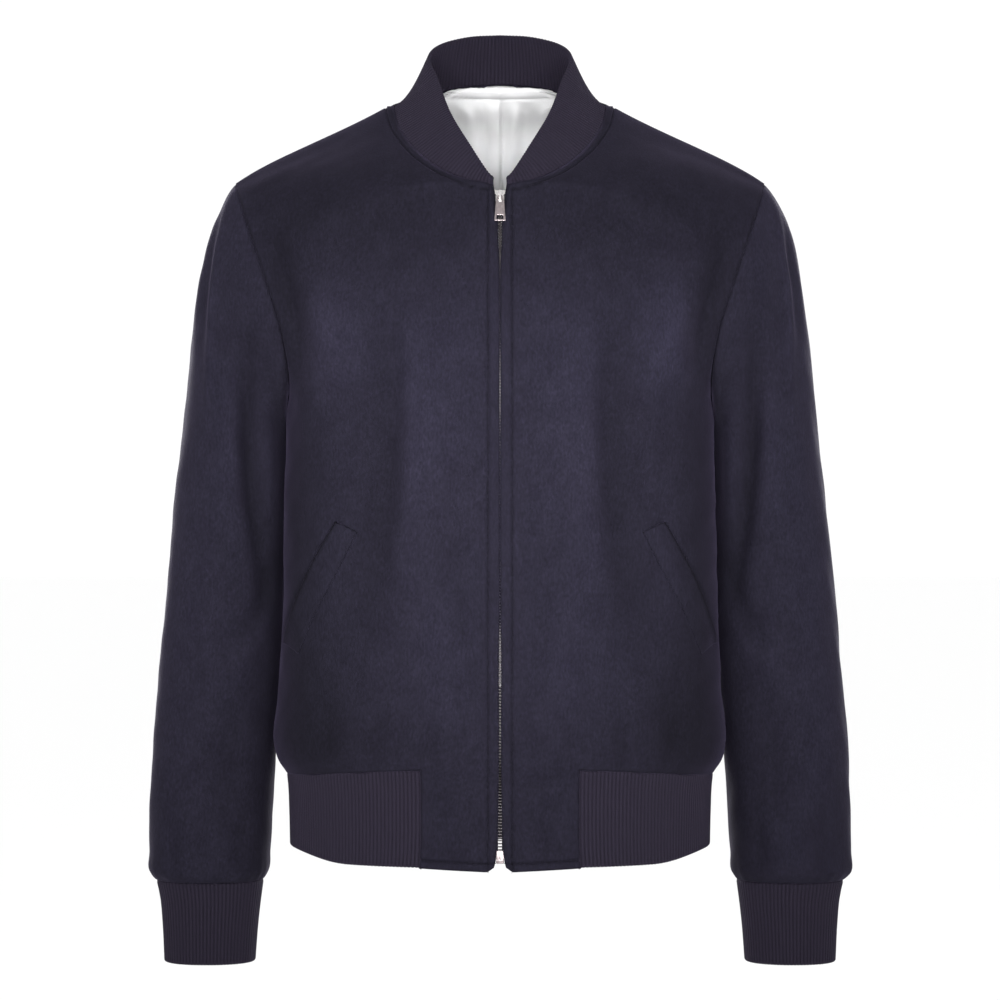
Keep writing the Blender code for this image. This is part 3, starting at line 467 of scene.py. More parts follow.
def stitched(distance, at, band=True):
    """Dent along a row of stitches, with the cloth between it and the edge standing proud."""
    dent = -STITCH_DEPTH * np.exp(-(((distance - at) / STITCH_GROOVE) ** 2))
    proud = BAND_RISE * (1.0 - smooth(at - 0.001, at + 0.0005, distance)) if band else 0.0
    return dent + proud


WAVE_OCTAVES = (1.0, 1.9, 3.4)
WAVES_EACH = 3
WAVE_PITCH = 0.085
WAVE_WAY = np.array([1.0, 1.0, 0.6])
WOOL_WAVES = 0.0011
LINING_WAVES = 0.0008

Fold = namedtuple("Fold", "path near far depth")


def fold_heights(across, down, folds):
    """Soft ridges and troughs. Each path is a list of (across, down), and a fold's near and far
    widths are towards smaller and larger values across."""
    total = np.zeros(across.shape)
    for fold in folds:
        path = np.array(fold.path, float)
        steps = np.linspace(0, len(path) - 1, 6 * (len(path) - 1) + 1)
        path = cubic_at(path, steps)
        run = run_along(path)
        best = np.full(across.shape, FAR)
        where = np.zeros(across.shape)
        side = np.zeros(across.shape)
        for i in range(len(path) - 1):
            leg = path[i + 1] - path[i]
            share = ((across - path[i, 0]) * leg[0] + (down - path[i, 1]) * leg[1]) / (leg @ leg)
            share = np.clip(share, 0.0, 1.0)
            off_x = across - path[i, 0] - share * leg[0]
            off_z = down - path[i, 1] - share * leg[1]
            away = np.hypot(off_x, off_z)
            nearer = away < best
            best[nearer] = away[nearer]
            side[nearer] = off_x[nearer]
            where[nearer] = (run[i] + share * (run[i + 1] - run[i]))[nearer]
        width = np.where(side < 0.0, fold.near, fold.far)
        taper = np.sin(pi * np.clip(0.04 + 0.92 * where / run[-1], 0.0, 1.0)) ** 0.7
        total += fold.depth * taper * np.exp(-((best / width) ** 2))
    return total


def unevenness(net, seed, size):
    """Low soft waves that keep cloth from lying perfectly smooth."""
    chance = np.random.default_rng(seed)
    total = np.zeros(net.shape[:2])
    for octave in WAVE_OCTAVES:
        for _ in range(WAVES_EACH):
            way = unit(chance.normal(size=3) * WAVE_WAY)
            pitch = WAVE_PITCH / octave * chance.uniform(0.8, 1.25)
            total += np.sin(2 * pi * (net @ way) / pitch + chance.uniform(0, 2 * pi)) / octave
    return total * size / WAVES_EACH


# ---------------------------------------------------------------- meshes


def to_side(net, side):
    """A net of the wearer's right half for side -1, or its mirror image on the left for side 1."""
    return net * np.array([-side, 1.0, 1.0])


def in_scene(name, data):
    thing = bpy.data.objects.new(name, data)
    bpy.context.scene.collection.objects.link(thing)
    return thing


def turn_faces_out(mesh):
    body = bmesh.new()
    body.from_mesh(mesh)
    bmesh.ops.recalc_face_normals(body, faces=body.faces)
    body.to_mesh(mesh)
    body.free()


def make_piece(name, points, faces, material, uv=None, nap_and_painted_light=None):
    """Object with a clean mesh: unused points are left out, and its faces are shaded smooth."""
    faces = [tuple(int(i) for i in face) for face in faces]
    used = np.unique(np.concatenate([np.array(face) for face in faces]))
    renumber = np.full(len(points), -1)
    renumber[used] = np.arange(len(used))
    faces = [tuple(renumber[list(face)]) for face in faces]
    mesh = bpy.data.meshes.new(name)
    mesh.from_pydata(points[used].tolist(), [], faces)
    mesh.polygons.foreach_set("use_smooth", [True] * len(mesh.polygons))
    if uv is not None:
        layer = mesh.uv_layers.new(name="UVMap")
        corners = np.empty(len(mesh.loops), int)
        mesh.loops.foreach_get("vertex_index", corners)
        layer.data.foreach_set("uv", uv[used][corners].ravel())
    # painted light and shade, kept as a point attribute that the wool and lining colours are
    # multiplied by
    if nap_and_painted_light is not None:
        mesh.attributes.new("nap_and_painted_light", "FLOAT", "POINT").data.foreach_set("value", nap_and_painted_light[used])
    mesh.materials.append(material)
    return in_scene(name, mesh)


def net_quads(rows, columns, closed, keep=None):
    i, j = np.meshgrid(np.arange(rows - 1), np.arange(columns if closed else columns - 1),
                       indexing="ij")
    k = (j + 1) % columns
    quads = np.stack([i * columns + j, i * columns + k, (i + 1) * columns + k,
                      (i + 1) * columns + j], -1)
    return quads[keep] if keep is not None else quads.reshape(-1, 4)


def facing_out(points, quads, normals):
    a, b, c, d = (points[quads[:, n]] for n in range(4))
    across = np.cross(c - a, d - b)
    return quads if (across * normals[quads[:, 0]]).sum() > 0.0 else quads[:, ::-1]


# limits of the painted light and shade in the colour
PAINTED_LIGHT_LIMITS = (0.2, 1.7)


def make_shell(name, net, normals, thickness, material, keep=None, closed=False, same=None,
               nap_and_painted_light=None):
    """Wall of cloth: the net outside, the same net moved in, and a rim along each open edge."""
    rows, columns = net.shape[:2]
    outer, away = net.reshape(-1, 3), normals.reshape(-1, 3)
    quads = facing_out(outer, net_quads(rows, columns, closed, keep), away)
    quads = quads if same is None else same[quads]
    count = len(outer)
    points = np.concatenate([outer, outer - away * thickness])
    edges = np.concatenate([quads[:, [0, 1]], quads[:, [1, 2]], quads[:, [2, 3]], quads[:, [3, 0]]])
    keys = edges[:, 0] * count + edges[:, 1]
    back = edges[:, 1] * count + edges[:, 0]
    open_edges = edges[~np.isin(keys, back)]
    a, b = open_edges[:, 0], open_edges[:, 1]
    rim = np.stack([b, a, a + count, b + count], -1)
    faces = np.concatenate([quads, quads[:, ::-1] + count, rim])
    nap_and_painted_light = None if nap_and_painted_light is None else np.tile(np.clip(nap_and_painted_light.ravel(), *PAINTED_LIGHT_LIMITS), 2)
    return make_piece(name, points, faces, material, nap_and_painted_light=nap_and_painted_light)


def surface_of(piece):
    """A piece's faces, to be hit by rays."""
    mesh = piece.data
    return BVHTree.FromPolygons([v.co for v in mesh.vertices], [p.vertices for p in mesh.polygons])


# ---------------------------------------------------------------- materials


def shader_material(name, roughness, color=(0.5, 0.5, 0.5), metallic=0.0, sheen=None,
                    specular=None):
    """Material with a Principled shader. Numbers that are the same all over sit on its sockets."""
    material = bpy.data.materials.new(name)
    material.use_nodes = True
    shader = material.node_tree.nodes["Principled BSDF"]
    shader.inputs["Base Color"].default_value = (*color, 1.0)
    shader.inputs["Roughness"].default_value = roughness
    shader.inputs["Metallic"].default_value = metallic
    if specular is not None:
        shader.inputs["Specular IOR Level"].default_value = specular
    if sheen:
        weight, spread, tint = sheen
        shader.inputs["Sheen Weight"].default_value = weight
        shader.inputs["Sheen Roughness"].default_value = spread
        shader.inputs["Sheen Tint"].default_value = (*tint, 1.0)
    return material


class Tree:
    """Short way to write nodes: each call adds one node and links what it is given."""

    def __init__(self, *settings, **more):
        self.material = shader_material(*settings, **more)
        self.tree = self.material.node_tree
        self.shader = self.tree.nodes["Principled BSDF"]
        self.place = self.tree.nodes.new("ShaderNodeTexCoord")

    def add(self, kind, inputs=(), **settings):
        node = self.tree.nodes.new(kind)
        for name, value in settings.items():
            setattr(node, name, value)
        for name, value in dict(inputs).items():
            if isinstance(value, bpy.types.NodeSocket):
                self.tree.links.new(value, node.inputs[name])
            else:
                node.inputs[name].default_value = value
        return node

    def stretched(self, place, scale):
        return self.add("ShaderNodeMapping", {"Vector": place, "Scale": scale}).outputs["Vector"]

    def noise(self, place, scale, detail=3.0, rough=0.55):
        inputs = {"Vector": place, "Scale": scale, "Detail": detail, "Roughness": rough}
        return self.add("ShaderNodeTexNoise", inputs).outputs["Fac"]

    def math(self, operation, first, second=0.0):
        return self.add("ShaderNodeMath", {0: first, 1: second}, operation=operation).outputs[0]

    def ramp(self, value, stops):
        node = self.add("ShaderNodeValToRGB", {"Fac": value})
        while len(node.color_ramp.elements) < len(stops):
            node.color_ramp.elements.new(0.5)
        for element, (position, color) in zip(node.color_ramp.elements, stops):
            element.position = position
            element.color = (*color, 1.0)
        return node.outputs["Color"]

    def mix(self, share, first, second, blend="MIX"):
        node = self.tree.nodes.new("ShaderNodeMix")
        node.data_type = "RGBA"
        node.blend_type = blend
        for socket, value in ((node.inputs["Factor"], share), (node.inputs[6], first),
                              (node.inputs[7], second)):
            if isinstance(value, bpy.types.NodeSocket):
                self.tree.links.new(value, socket)
            elif isinstance(value, tuple):
                socket.default_value = (*value, 1.0)
            else:
                socket.default_value = value
        return node.outputs[2]

    def bump(self, height, distance, strength=1.0):
        node = self.add("ShaderNodeBump",
                        {"Height": height, "Distance": distance, "Strength": strength})
        self.link(node.outputs["Normal"], "Normal")

    def link(self, value, socket):
        self.tree.links.new(value, self.shader.inputs[socket])


WOOL_CLOUDS = ((0.30, (0.0058, 0.0051, 0.0094)), (0.50, (0.0066, 0.0059, 0.0106)),
               (0.74, (0.0077, 0.0069, 0.0123)))
WOOL_FIBRES = ((0.34, (0.70, 0.70, 0.70)), (0.56, (1.0, 1.0, 1.0)), (0.78, (1.42, 1.40, 1.46)))
KNIT_TONE_AND_GROOVE_SHADE = ((0.16, (0.0040, 0.0032, 0.0058)), (0.50, (0.0072, 0.0058, 0.0102)),
              (0.86, (0.0112, 0.0092, 0.0156)))
SATIN_CLOUDS = ((0.32, (0.70, 0.70, 0.71)), (0.68, (0.80, 0.80, 0.81)))
TAPE_TONES = ((0.1, (0.0026, 0.0022, 0.0042)), (0.9, (0.0070, 0.0060, 0.0105)))
KNIT_LOOPS = 720.0  # to a metre up each rib
TWILL_LINES = 1500.0


def wool_material():
    """Brushed melton: short matted fibres, faint clouding, a soft bloom at grazing angles, and
    painted light and shade from a mesh attribute.
    """
    t = Tree("navy_melton_wool", 0.88, sheen=(0.05, 0.38, (0.44, 0.36, 0.66)), specular=0.05)
    place = t.place.outputs["Object"]
    clouds = t.noise(t.stretched(place, (1.0, 1.0, 0.7)), 62.0, 4.0, 0.62)
    fibres = t.noise(t.stretched(place, (1.0, 1.0, 0.45)), 620.0, 3.0, 0.6)
    # fine fibre nap, only for the bump
    nap_and_painted_light = t.noise(place, 1900.0, 2.0, 0.5)
    base = t.ramp(clouds, WOOL_CLOUDS)
    speck = t.ramp(fibres, WOOL_FIBRES)
    # painted light and shade from the mesh attribute multiply the wool's colour
    painted_light_tone = t.add("ShaderNodeAttribute", attribute_name="nap_and_painted_light").outputs["Fac"]
    t.link(t.mix(1.0, t.mix(1.0, base, speck, "MULTIPLY"), painted_light_tone, "MULTIPLY"), "Base Color")
    height = t.math("ADD", t.math("MULTIPLY", fibres, 0.7), t.math("MULTIPLY", nap_and_painted_light, 0.5))
    t.bump(height, 0.00035, 0.8)
    t.link(t.math("ADD", t.math("MULTIPLY", fibres, 0.10), 0.84), "Roughness")
    return t.material


def knit_material():
    """Rib knit: a fine chain of loops up each rib, with painted shade between the ribs."""
    t = Tree("navy_rib_knit", 0.86, sheen=(0.06, 0.42, (0.46, 0.38, 0.62)), specular=0.05)
    uv = t.add("ShaderNodeSeparateXYZ", {"Vector": t.place.outputs["UV"]})
    across, up = uv.outputs["X"], uv.outputs["Y"]
    half = t.math("ABSOLUTE", t.math("SUBTRACT", t.math("FRACT", t.math("MULTIPLY", across, 2.0)),
                                     0.5))
    slant = t.math("ADD", t.math("MULTIPLY", up, KNIT_LOOPS), t.math("MULTIPLY", half, 1.3))
    loops = t.math("ABSOLUTE", t.math("SINE", t.math("MULTIPLY", slant, pi)))
    painted_groove_shade = t.math("ABSOLUTE", t.math("COSINE", t.math("MULTIPLY", across, pi)))
    fuzz = t.noise(t.place.outputs["Object"], 900.0, 3.0, 0.6)
    # painted shade in the grooves between the ribs, mixed with a random fuzz tone
    tone = t.math("ADD", t.math("MULTIPLY", painted_groove_shade, 0.45), t.math("MULTIPLY", fuzz, 0.55))
    t.link(t.ramp(tone, KNIT_TONE_AND_GROOVE_SHADE), "Base Color")
    t.bump(t.math("ADD", t.math("MULTIPLY", loops, 0.6), t.math("MULTIPLY", fuzz, 0.5)), 0.0003)
    return t.material


def lining_material():
    """White satin lining with a fine weave, a faint grey clouding, and painted light and shade from
    a mesh attribute.
    """
    t = Tree("white_satin_lining", 0.42, sheen=(0.10, 0.35, (1.0, 1.0, 1.0)), specular=0.45)
    place = t.place.outputs["Object"]
    clouds = t.noise(place, 24.0, 3.0, 0.5)
    base = t.ramp(clouds, SATIN_CLOUDS)
    # painted light and shade from the mesh attribute multiply the lining's colour
    tone = t.add("ShaderNodeAttribute", attribute_name="nap_and_painted_light").outputs["Fac"]
    t.link(t.mix(1.0, base, tone, "MULTIPLY"), "Base Color")
    weft = t.noise(t.stretched(place, (0.25, 0.25, 1.0)), 2600.0, 2.0, 0.5)
    warp = t.noise(t.stretched(place, (1.0, 1.0, 0.25)), 2600.0, 2.0, 0.5)
    t.bump(t.math("ADD", weft, warp), 0.00012, 0.6)
    t.link(t.math("ADD", t.math("MULTIPLY", weft, 0.14), 0.34), "Roughness")
    return t.material


def tape_material():
    """Woven zip tape with a fine slanted twill."""
    t = Tree("navy_woven_tape", 0.82, specular=0.05)
    xyz = t.add("ShaderNodeSeparateXYZ", {"Vector": t.place.outputs["Object"]})
    slant = t.math("ADD", t.math("MULTIPLY", xyz.outputs["X"], TWILL_LINES),
                   t.math("MULTIPLY", xyz.outputs["Z"], TWILL_LINES))
    twill = t.math("ABSOLUTE", t.math("SINE", slant))
    fuzz = t.noise(t.place.outputs["Object"], 1400.0, 2.0, 0.5)
    tone = t.math("ADD", t.math("MULTIPLY", twill, 0.6), t.math("MULTIPLY", fuzz, 0.4))
    t.link(t.ramp(tone, TAPE_TONES), "Base Color")
    t.bump(twill, 0.0002)
    return t.material


def thread_material(name, dark, pale, roughness):
    """Twisted sewing thread."""
    t = Tree(name, roughness, specular=0.06)
    twist = t.noise(t.place.outputs["Object"], 3200.0, 1.0, 0.5)
    t.link(t.ramp(twist, ((0.35, dark), (0.65, pale))), "Base Color")
    t.bump(twist, 0.0001)
    return t.material


def metal_material(name, dark, pale, roughness):
    """Plated metal with faint scuffs."""
    t = Tree(name, roughness, metallic=1.0)
    place = t.place.outputs["Object"]
    scuffs = t.noise(t.stretched(place, (1.0, 1.0, 0.2)), 900.0, 4.0, 0.6)
    t.link(t.ramp(scuffs, ((0.3, dark), (0.7, pale))), "Base Color")
    t.link(t.math("ADD", t.math("MULTIPLY", scuffs, 0.18), roughness - 0.08), "Roughness")
    t.bump(scuffs, 0.00004, 0.5)
    return t.material


WOOL = wool_material()
KNIT = knit_material()
SATIN = lining_material()
TAPE = tape_material()
NAVY_THREAD = thread_material("navy_thread", (0.0022, 0.0019, 0.0036),
                              (0.0044, 0.0038, 0.0070), 0.8)
BRIGHT_METAL = metal_material("polished_zip_metal", (0.50, 0.48, 0.48), (0.66, 0.64, 0.64), 0.24)
PULL_METAL = metal_material("brushed_pull_metal", (0.17, 0.145, 0.15), (0.26, 0.225, 0.23), 0.36)
# the teeth's plated metal, painted far darker than the slider's as painted shade for the dim gap
# between the fronts
SHADED_TOOTH_METAL = metal_material("zip_tooth_metal_with_painted_shade", (0.030, 0.027, 0.029), (0.062, 0.057, 0.060), 0.48)

# ---------------------------------------------------------------- soft folds

# Fronts: distance from the middle and height, as seen from the front.
FRONT_FOLDS = (
    # hollow inside the armhole, with a fuller chest beyond it
    Fold(((0.196, -0.105), (0.186, -0.150), (0.176, -0.195), (0.170, -0.235)), 0.013, 0.012,
         -0.0075),
    Fold(((0.150, -0.150), (0.148, -0.200), (0.150, -0.250)), 0.030, 0.014, 0.0045),
    # long soft drape from the chest to the hem
    Fold(((0.093, -0.180), (0.092, -0.240), (0.095, -0.330), (0.106, -0.400), (0.110, -0.470)),
         0.014, 0.024, -0.0069),
    Fold(((0.076, -0.200), (0.074, -0.270), (0.077, -0.340), (0.082, -0.420)), 0.022, 0.010,
         0.0045),
    Fold(((0.036, -0.370), (0.034, -0.440), (0.038, -0.510)), 0.008, 0.014, -0.0018),
    Fold(((0.052, -0.420), (0.050, -0.480), (0.052, -0.540)), 0.016, 0.016, 0.0033),
    # puckers above the rib
    Fold(((0.060, -0.520), (0.057, -0.545), (0.056, -0.562)), 0.006, 0.009, -0.0024),
    Fold(((0.100, -0.515), (0.104, -0.545), (0.103, -0.566)), 0.009, 0.006, -0.0027),
    Fold(((0.140, -0.500), (0.146, -0.540), (0.147, -0.570)), 0.010, 0.009, -0.0033),
    Fold(((0.122, -0.520), (0.124, -0.560)), 0.010, 0.010, 0.0018),
    # across the shoulder
    Fold(((0.120, -0.075), (0.150, -0.090), (0.185, -0.115)), 0.014, 0.014, -0.0018),
)

# Backs: the same, seen through from the front.
BACK_FOLDS = (
    Fold(((0.190, -0.120), (0.180, -0.170), (0.172, -0.230)), 0.014, 0.012, -0.0069),
    Fold(((0.150, -0.140), (0.146, -0.200), (0.150, -0.260)), 0.028, 0.014, 0.0039),
    Fold(((0.100, -0.160), (0.096, -0.250), (0.092, -0.350), (0.096, -0.450)), 0.014, 0.024,
         -0.0063),
    Fold(((0.070, -0.230), (0.066, -0.330), (0.070, -0.430)), 0.020, 0.014, 0.0036),
    Fold(((0.030, -0.330), (0.034, -0.420), (0.030, -0.500)), 0.014, 0.018, -0.0036),
    Fold(((0.128, -0.400), (0.132, -0.470), (0.130, -0.540)), 0.014, 0.012, -0.0030),
    Fold(((0.050, -0.515), (0.048, -0.545), (0.050, -0.566)), 0.008, 0.007, -0.0024),
    Fold(((0.096, -0.520), (0.092, -0.550), (0.093, -0.570)), 0.007, 0.009, -0.0024),
    Fold(((0.150, -0.515), (0.154, -0.545), (0.153, -0.572)), 0.009, 0.008, -0.0027),
)

# Sleeves: millimetre by millimetre round from the outer side, positive to the front, and height.
SLEEVE_FOLDS = (
    # fine ridge down from the shoulder, with a hollow outside it
    Fold(((0.030, -0.088), (0.044, -0.125), (0.053, -0.170), (0.061, -0.220), (0.065, -0.280)),
         0.0045, 0.0040, 0.0020),
    Fold(((0.020, -0.090), (0.034, -0.125), (0.042, -0.170), (0.048, -0.220)), 0.009, 0.006,
         -0.0028),
    # long trough on the front, drifting to the inner elbow
    Fold(((0.092, -0.195), (0.098, -0.235), (0.103, -0.260), (0.108, -0.300), (0.116, -0.345),
          (0.127, -0.395), (0.134, -0.430)), 0.010, 0.009, -0.0067),
    Fold(((0.088, -0.230), (0.092, -0.290), (0.097, -0.350)), 0.014, 0.008, 0.0034),
    Fold(((0.128, -0.250), (0.130, -0.310), (0.138, -0.360)), 0.010, 0.010, 0.0034),
    # elbow and forearm
    Fold(((0.150, -0.380), (0.128, -0.430), (0.100, -0.470)), 0.010, 0.012, -0.0031),
    Fold(((0.146, -0.430), (0.120, -0.470), (0.085, -0.500)), 0.012, 0.012, 0.0020),
    Fold(((0.108, -0.500), (0.104, -0.560), (0.108, -0.620)), 0.012, 0.016, -0.0025),
    Fold(((0.060, -0.600), (0.062, -0.640), (0.061, -0.664)), 0.007, 0.006, -0.0017),
    Fold(((0.125, -0.610), (0.120, -0.645), (0.121, -0.666)), 0.006, 0.008, -0.0022),
    # behind
    Fold(((-0.092, -0.190), (-0.100, -0.250), (-0.112, -0.320), (-0.126, -0.400)), 0.012, 0.012,
         -0.0062),
    Fold(((-0.060, -0.200), (-0.070, -0.300), (-0.078, -0.400)), 0.014, 0.012, 0.0028),
    Fold(((-0.148, -0.370), (-0.118, -0.420), (-0.084, -0.450)), 0.012, 0.012, -0.0036),
    Fold(((-0.140, -0.440), (-0.108, -0.480), (-0.070, -0.500)), 0.012, 0.012, -0.0025),
    Fold(((-0.104, -0.540), (-0.108, -0.610), (-0.104, -0.660)), 0.010, 0.012, -0.0025),
)

# ---------------------------------------------------------------- wool pieces

CORNER_RISE = 0.0042  # of the rounded corner at the foot of each front edge
CORNER_SIZE = (0.0055, 0.0085)
SLOT_DEPTH = 0.0028  # of the hollow in the front along a pocket's opening
SLOT_REACH = 0.0026


def slot_depth(distance):
    return SLOT_DEPTH * np.exp(-((distance / SLOT_REACH) ** 2))


def pocket_slot(net):
    """Hollow along the pocket opening, deepest at its upper part."""
    place = np.linspace(0.0, len(WELT) - 1.0, 31)
    line = np.stack([-cubic_at(column(WELT, "opening_x"), place) - 0.0008, 0.0 * place,
                     cubic_at(column(WELT, "opening_z"), place)], -1)
    distance, along_it = path_distance(net * np.array([1.0, 0.0, 1.0]), line)
    return -slot_depth(distance) * (1.0 - 0.6 * along_it / along_it.max())


def armhole_path(front):
    return armhole_point(np.linspace(0.0, 1.0, 49), front)


def neck_path(front):
    return neck_point(np.linspace(0.0, NECK_TIP_ANGLE if front else 90.0, 49), front)


Patch = namedtuple("Patch", "across height half_width half_height amount")
FOLD_PAINTED_LIGHT = 36.0  # painted highlight on each metre of a fold's ridge, and painted shade in a trough
# painted shade in the colour along seams and stitch lines, where shade gathers in their dents
SEAM_PAINTED_SHADE, SEAM_PAINTED_SHADE_REACH = 0.38, 0.0016
STITCH_PAINTED_SHADE, STITCH_PAINTED_SHADE_REACH = 0.24, 0.0013
NECK_STITCH_PAINTED_SHADE = 1.4  # times that, along the neck of the fronts
EDGE_PAINTED_SHADE = 0.6  # of a seam's painted shade, along the free edges

# Painted highlights and painted shade: paler patches on the chest and middle where the light falls
# fullest, darker ones on the shoulders, the sides and above the hem.
FRONT_PAINTED_LIGHT_PATCHES = tuple(Patch(*row) for row in (
    (0.145, -0.200, 0.024, 0.036, 0.26), (0.138, -0.236, 0.034, 0.030, 0.12),
    (0.052, -0.275, 0.034, 0.080, 0.14), (0.077, -0.265, 0.009, 0.075, 0.10),
    (0.056, -0.470, 0.036, 0.060, 0.06), (0.100, -0.100, 0.130, 0.055, -0.30),
    (0.160, -0.530, 0.042, 0.070, -0.30), (0.030, -0.620, 0.050, 0.050, -0.10),
    (0.180, -0.360, 0.022, 0.170, -0.40), (0.110, -0.545, 0.080, 0.022, -0.12),
))
BACK_PAINTED_LIGHT_PATCHES = tuple(Patch(*row) for row in (
    (0.120, -0.200, 0.040, 0.060, 0.16), (0.050, -0.300, 0.040, 0.100, 0.14),
    (0.100, -0.060, 0.130, 0.040, -0.14), (0.166, -0.540, 0.030, 0.055, -0.30),
    (0.110, -0.545, 0.080, 0.022, -0.12),
))


def panel_painted_light(net, front):
    distance, height = -net[..., 0], net[..., 2]
    # painted light: lighter on fold ridges, darker in troughs, with the painted patches of light
    # and shade added
    nap_and_painted_light = 1.0 + FOLD_PAINTED_LIGHT * fold_heights(distance, height, FRONT_FOLDS if front else BACK_FOLDS)
    for patch in FRONT_PAINTED_LIGHT_PATCHES if front else BACK_PAINTED_LIGHT_PATCHES:
        away = ((distance - patch.across) / patch.half_width) ** 2
        away = away + ((height - patch.height) / patch.half_height) ** 2
        nap_and_painted_light += patch.amount * np.exp(-away)
    return nap_and_painted_light


def seam_painted_shade(distance):
    return -SEAM_PAINTED_SHADE * np.exp(-((distance / SEAM_PAINTED_SHADE_REACH) ** 2))


def stitch_painted_shade(distance, at):
    return -STITCH_PAINTED_SHADE * np.exp(-(((distance - at) / STITCH_PAINTED_SHADE_REACH) ** 2))


# Distances or heights between which folds fade out beside a seam.
CALM_NECK = (0.004, 0.030)
CALM_ARMHOLE = (0.0, 0.018)
CALM_SHOULDER = (0.0, 0.030)
CALM_HEM = (-0.578, -0.560)
CALM_FRONT_EDGE = (0.004, 0.030)
SHOULDER_HOLLOW, SHOULDER_HOLLOW_REACH = 0.0034, 0.060  # below the shoulder seam


def panel_relief(net, front, side):
    """How far each point of a panel's right half stands out from its plain surface."""
    distance, height = -net[..., 0], net[..., 2]
    relief = fold_heights(distance, height, FRONT_FOLDS if front else BACK_FOLDS)
    relief += unevenness(net, 11 + int(front) * 5 + (side + 1), WOOL_WAVES)
    relief *= smooth(*CALM_NECK, distance_from(net, neck_path(front)))
    relief *= smooth(*CALM_ARMHOLE, distance_from(net, armhole_path(front)))
    shoulder, along_it = path_distance(net, net[0])
    relief *= smooth(*CALM_HEM, height) * smooth(*CALM_SHOULDER, shoulder)
    middle = np.sin(pi * np.clip(along_it / along_it.max(), 0.0, 1.0)) ** 0.8
    relief -= SHOULDER_HOLLOW * middle * np.exp(-((shoulder / SHOULDER_HOLLOW_REACH) ** 2))
    if front:
        relief *= smooth(*CALM_FRONT_EDGE, distance)
    return relief


def seam_line(net, normals, distance, at, rows):
    """Line on a front at a distance from its edge, found in each of the given rows."""
    line = []
    for i in np.nonzero(rows)[0]:
        j = int(np.argmax(distance[i] > at))
        if j == 0:
            continue
        share = (at - distance[i, j - 1]) / (distance[i, j] - distance[i, j - 1])
        point = net[i, j - 1] + (net[i, j] - net[i, j - 1]) * share
        line.append(point + normals[i, j] * STITCH_LIFT)
    return np.array(line)


def bottom_line(net, normals, distance, at, tab):
    """Line across the tab at a distance from its bottom edge."""
    line = []
    for j in range(1, tab):
        i = len(net) - 1 - int(np.argmax(distance[::-1, j] > at))
        share = (at - distance[i + 1, j]) / (distance[i, j] - distance[i + 1, j])
        point = net[i + 1, j] + (net[i, j] - net[i + 1, j]) * share
        line.append(point + normals[i, j] * STITCH_LIFT)
    return np.array(line)


EVEN_REACH = (0.080, 0.986)  # where the even columns of a panel start and end
TAB_STEPS = np.array([-0.012, -0.007, -0.003, 0.0, 0.003, 0.007, 0.012])
TAB_CLEAR = 0.014  # no even column comes nearer to the tab's side than this
# Extra rows of a panel: below the shoulder seam, above the hem seam and above the tab's foot.
TOP_PLACES = (0.05, 0.15, 0.4)
SEAM_STEPS = np.array([0.05, 0.12, 0.22, 0.32])
BOTTOM_STEPS = np.array([0.01, 0.03, 0.06, 0.1, 0.13, 0.15, 0.17, 0.19, 0.21, 0.24])
FRONT_COLUMNS, BACK_COLUMNS = 80, 62


def cloth_stations(count, beside_tab=False):
    """Shares across a panel, closer together at its edges, its stitches and the tab's side."""
    even = np.linspace(0.0, 1.0, count)
    even = even[(even > EVEN_REACH[0]) & (even < EVEN_REACH[1])]
    if beside_tab:
        even = np.append(even[np.abs(even - TAB_STATION) > TAB_CLEAR], TAB_STATION + TAB_STEPS)
    return np.unique(np.concatenate([EDGE_STATIONS, STITCH_STATIONS, even,
                                     1.0 - np.array(EDGE_STATIONS)]))


def cloth_places(front, last, extra):
    """Fractional rows of a panel, closer together at its seams."""
    return np.unique(np.concatenate([fine_places(front, last), TOP_PLACES, SEAM_ROW - SEAM_STEPS,
                                     extra]))


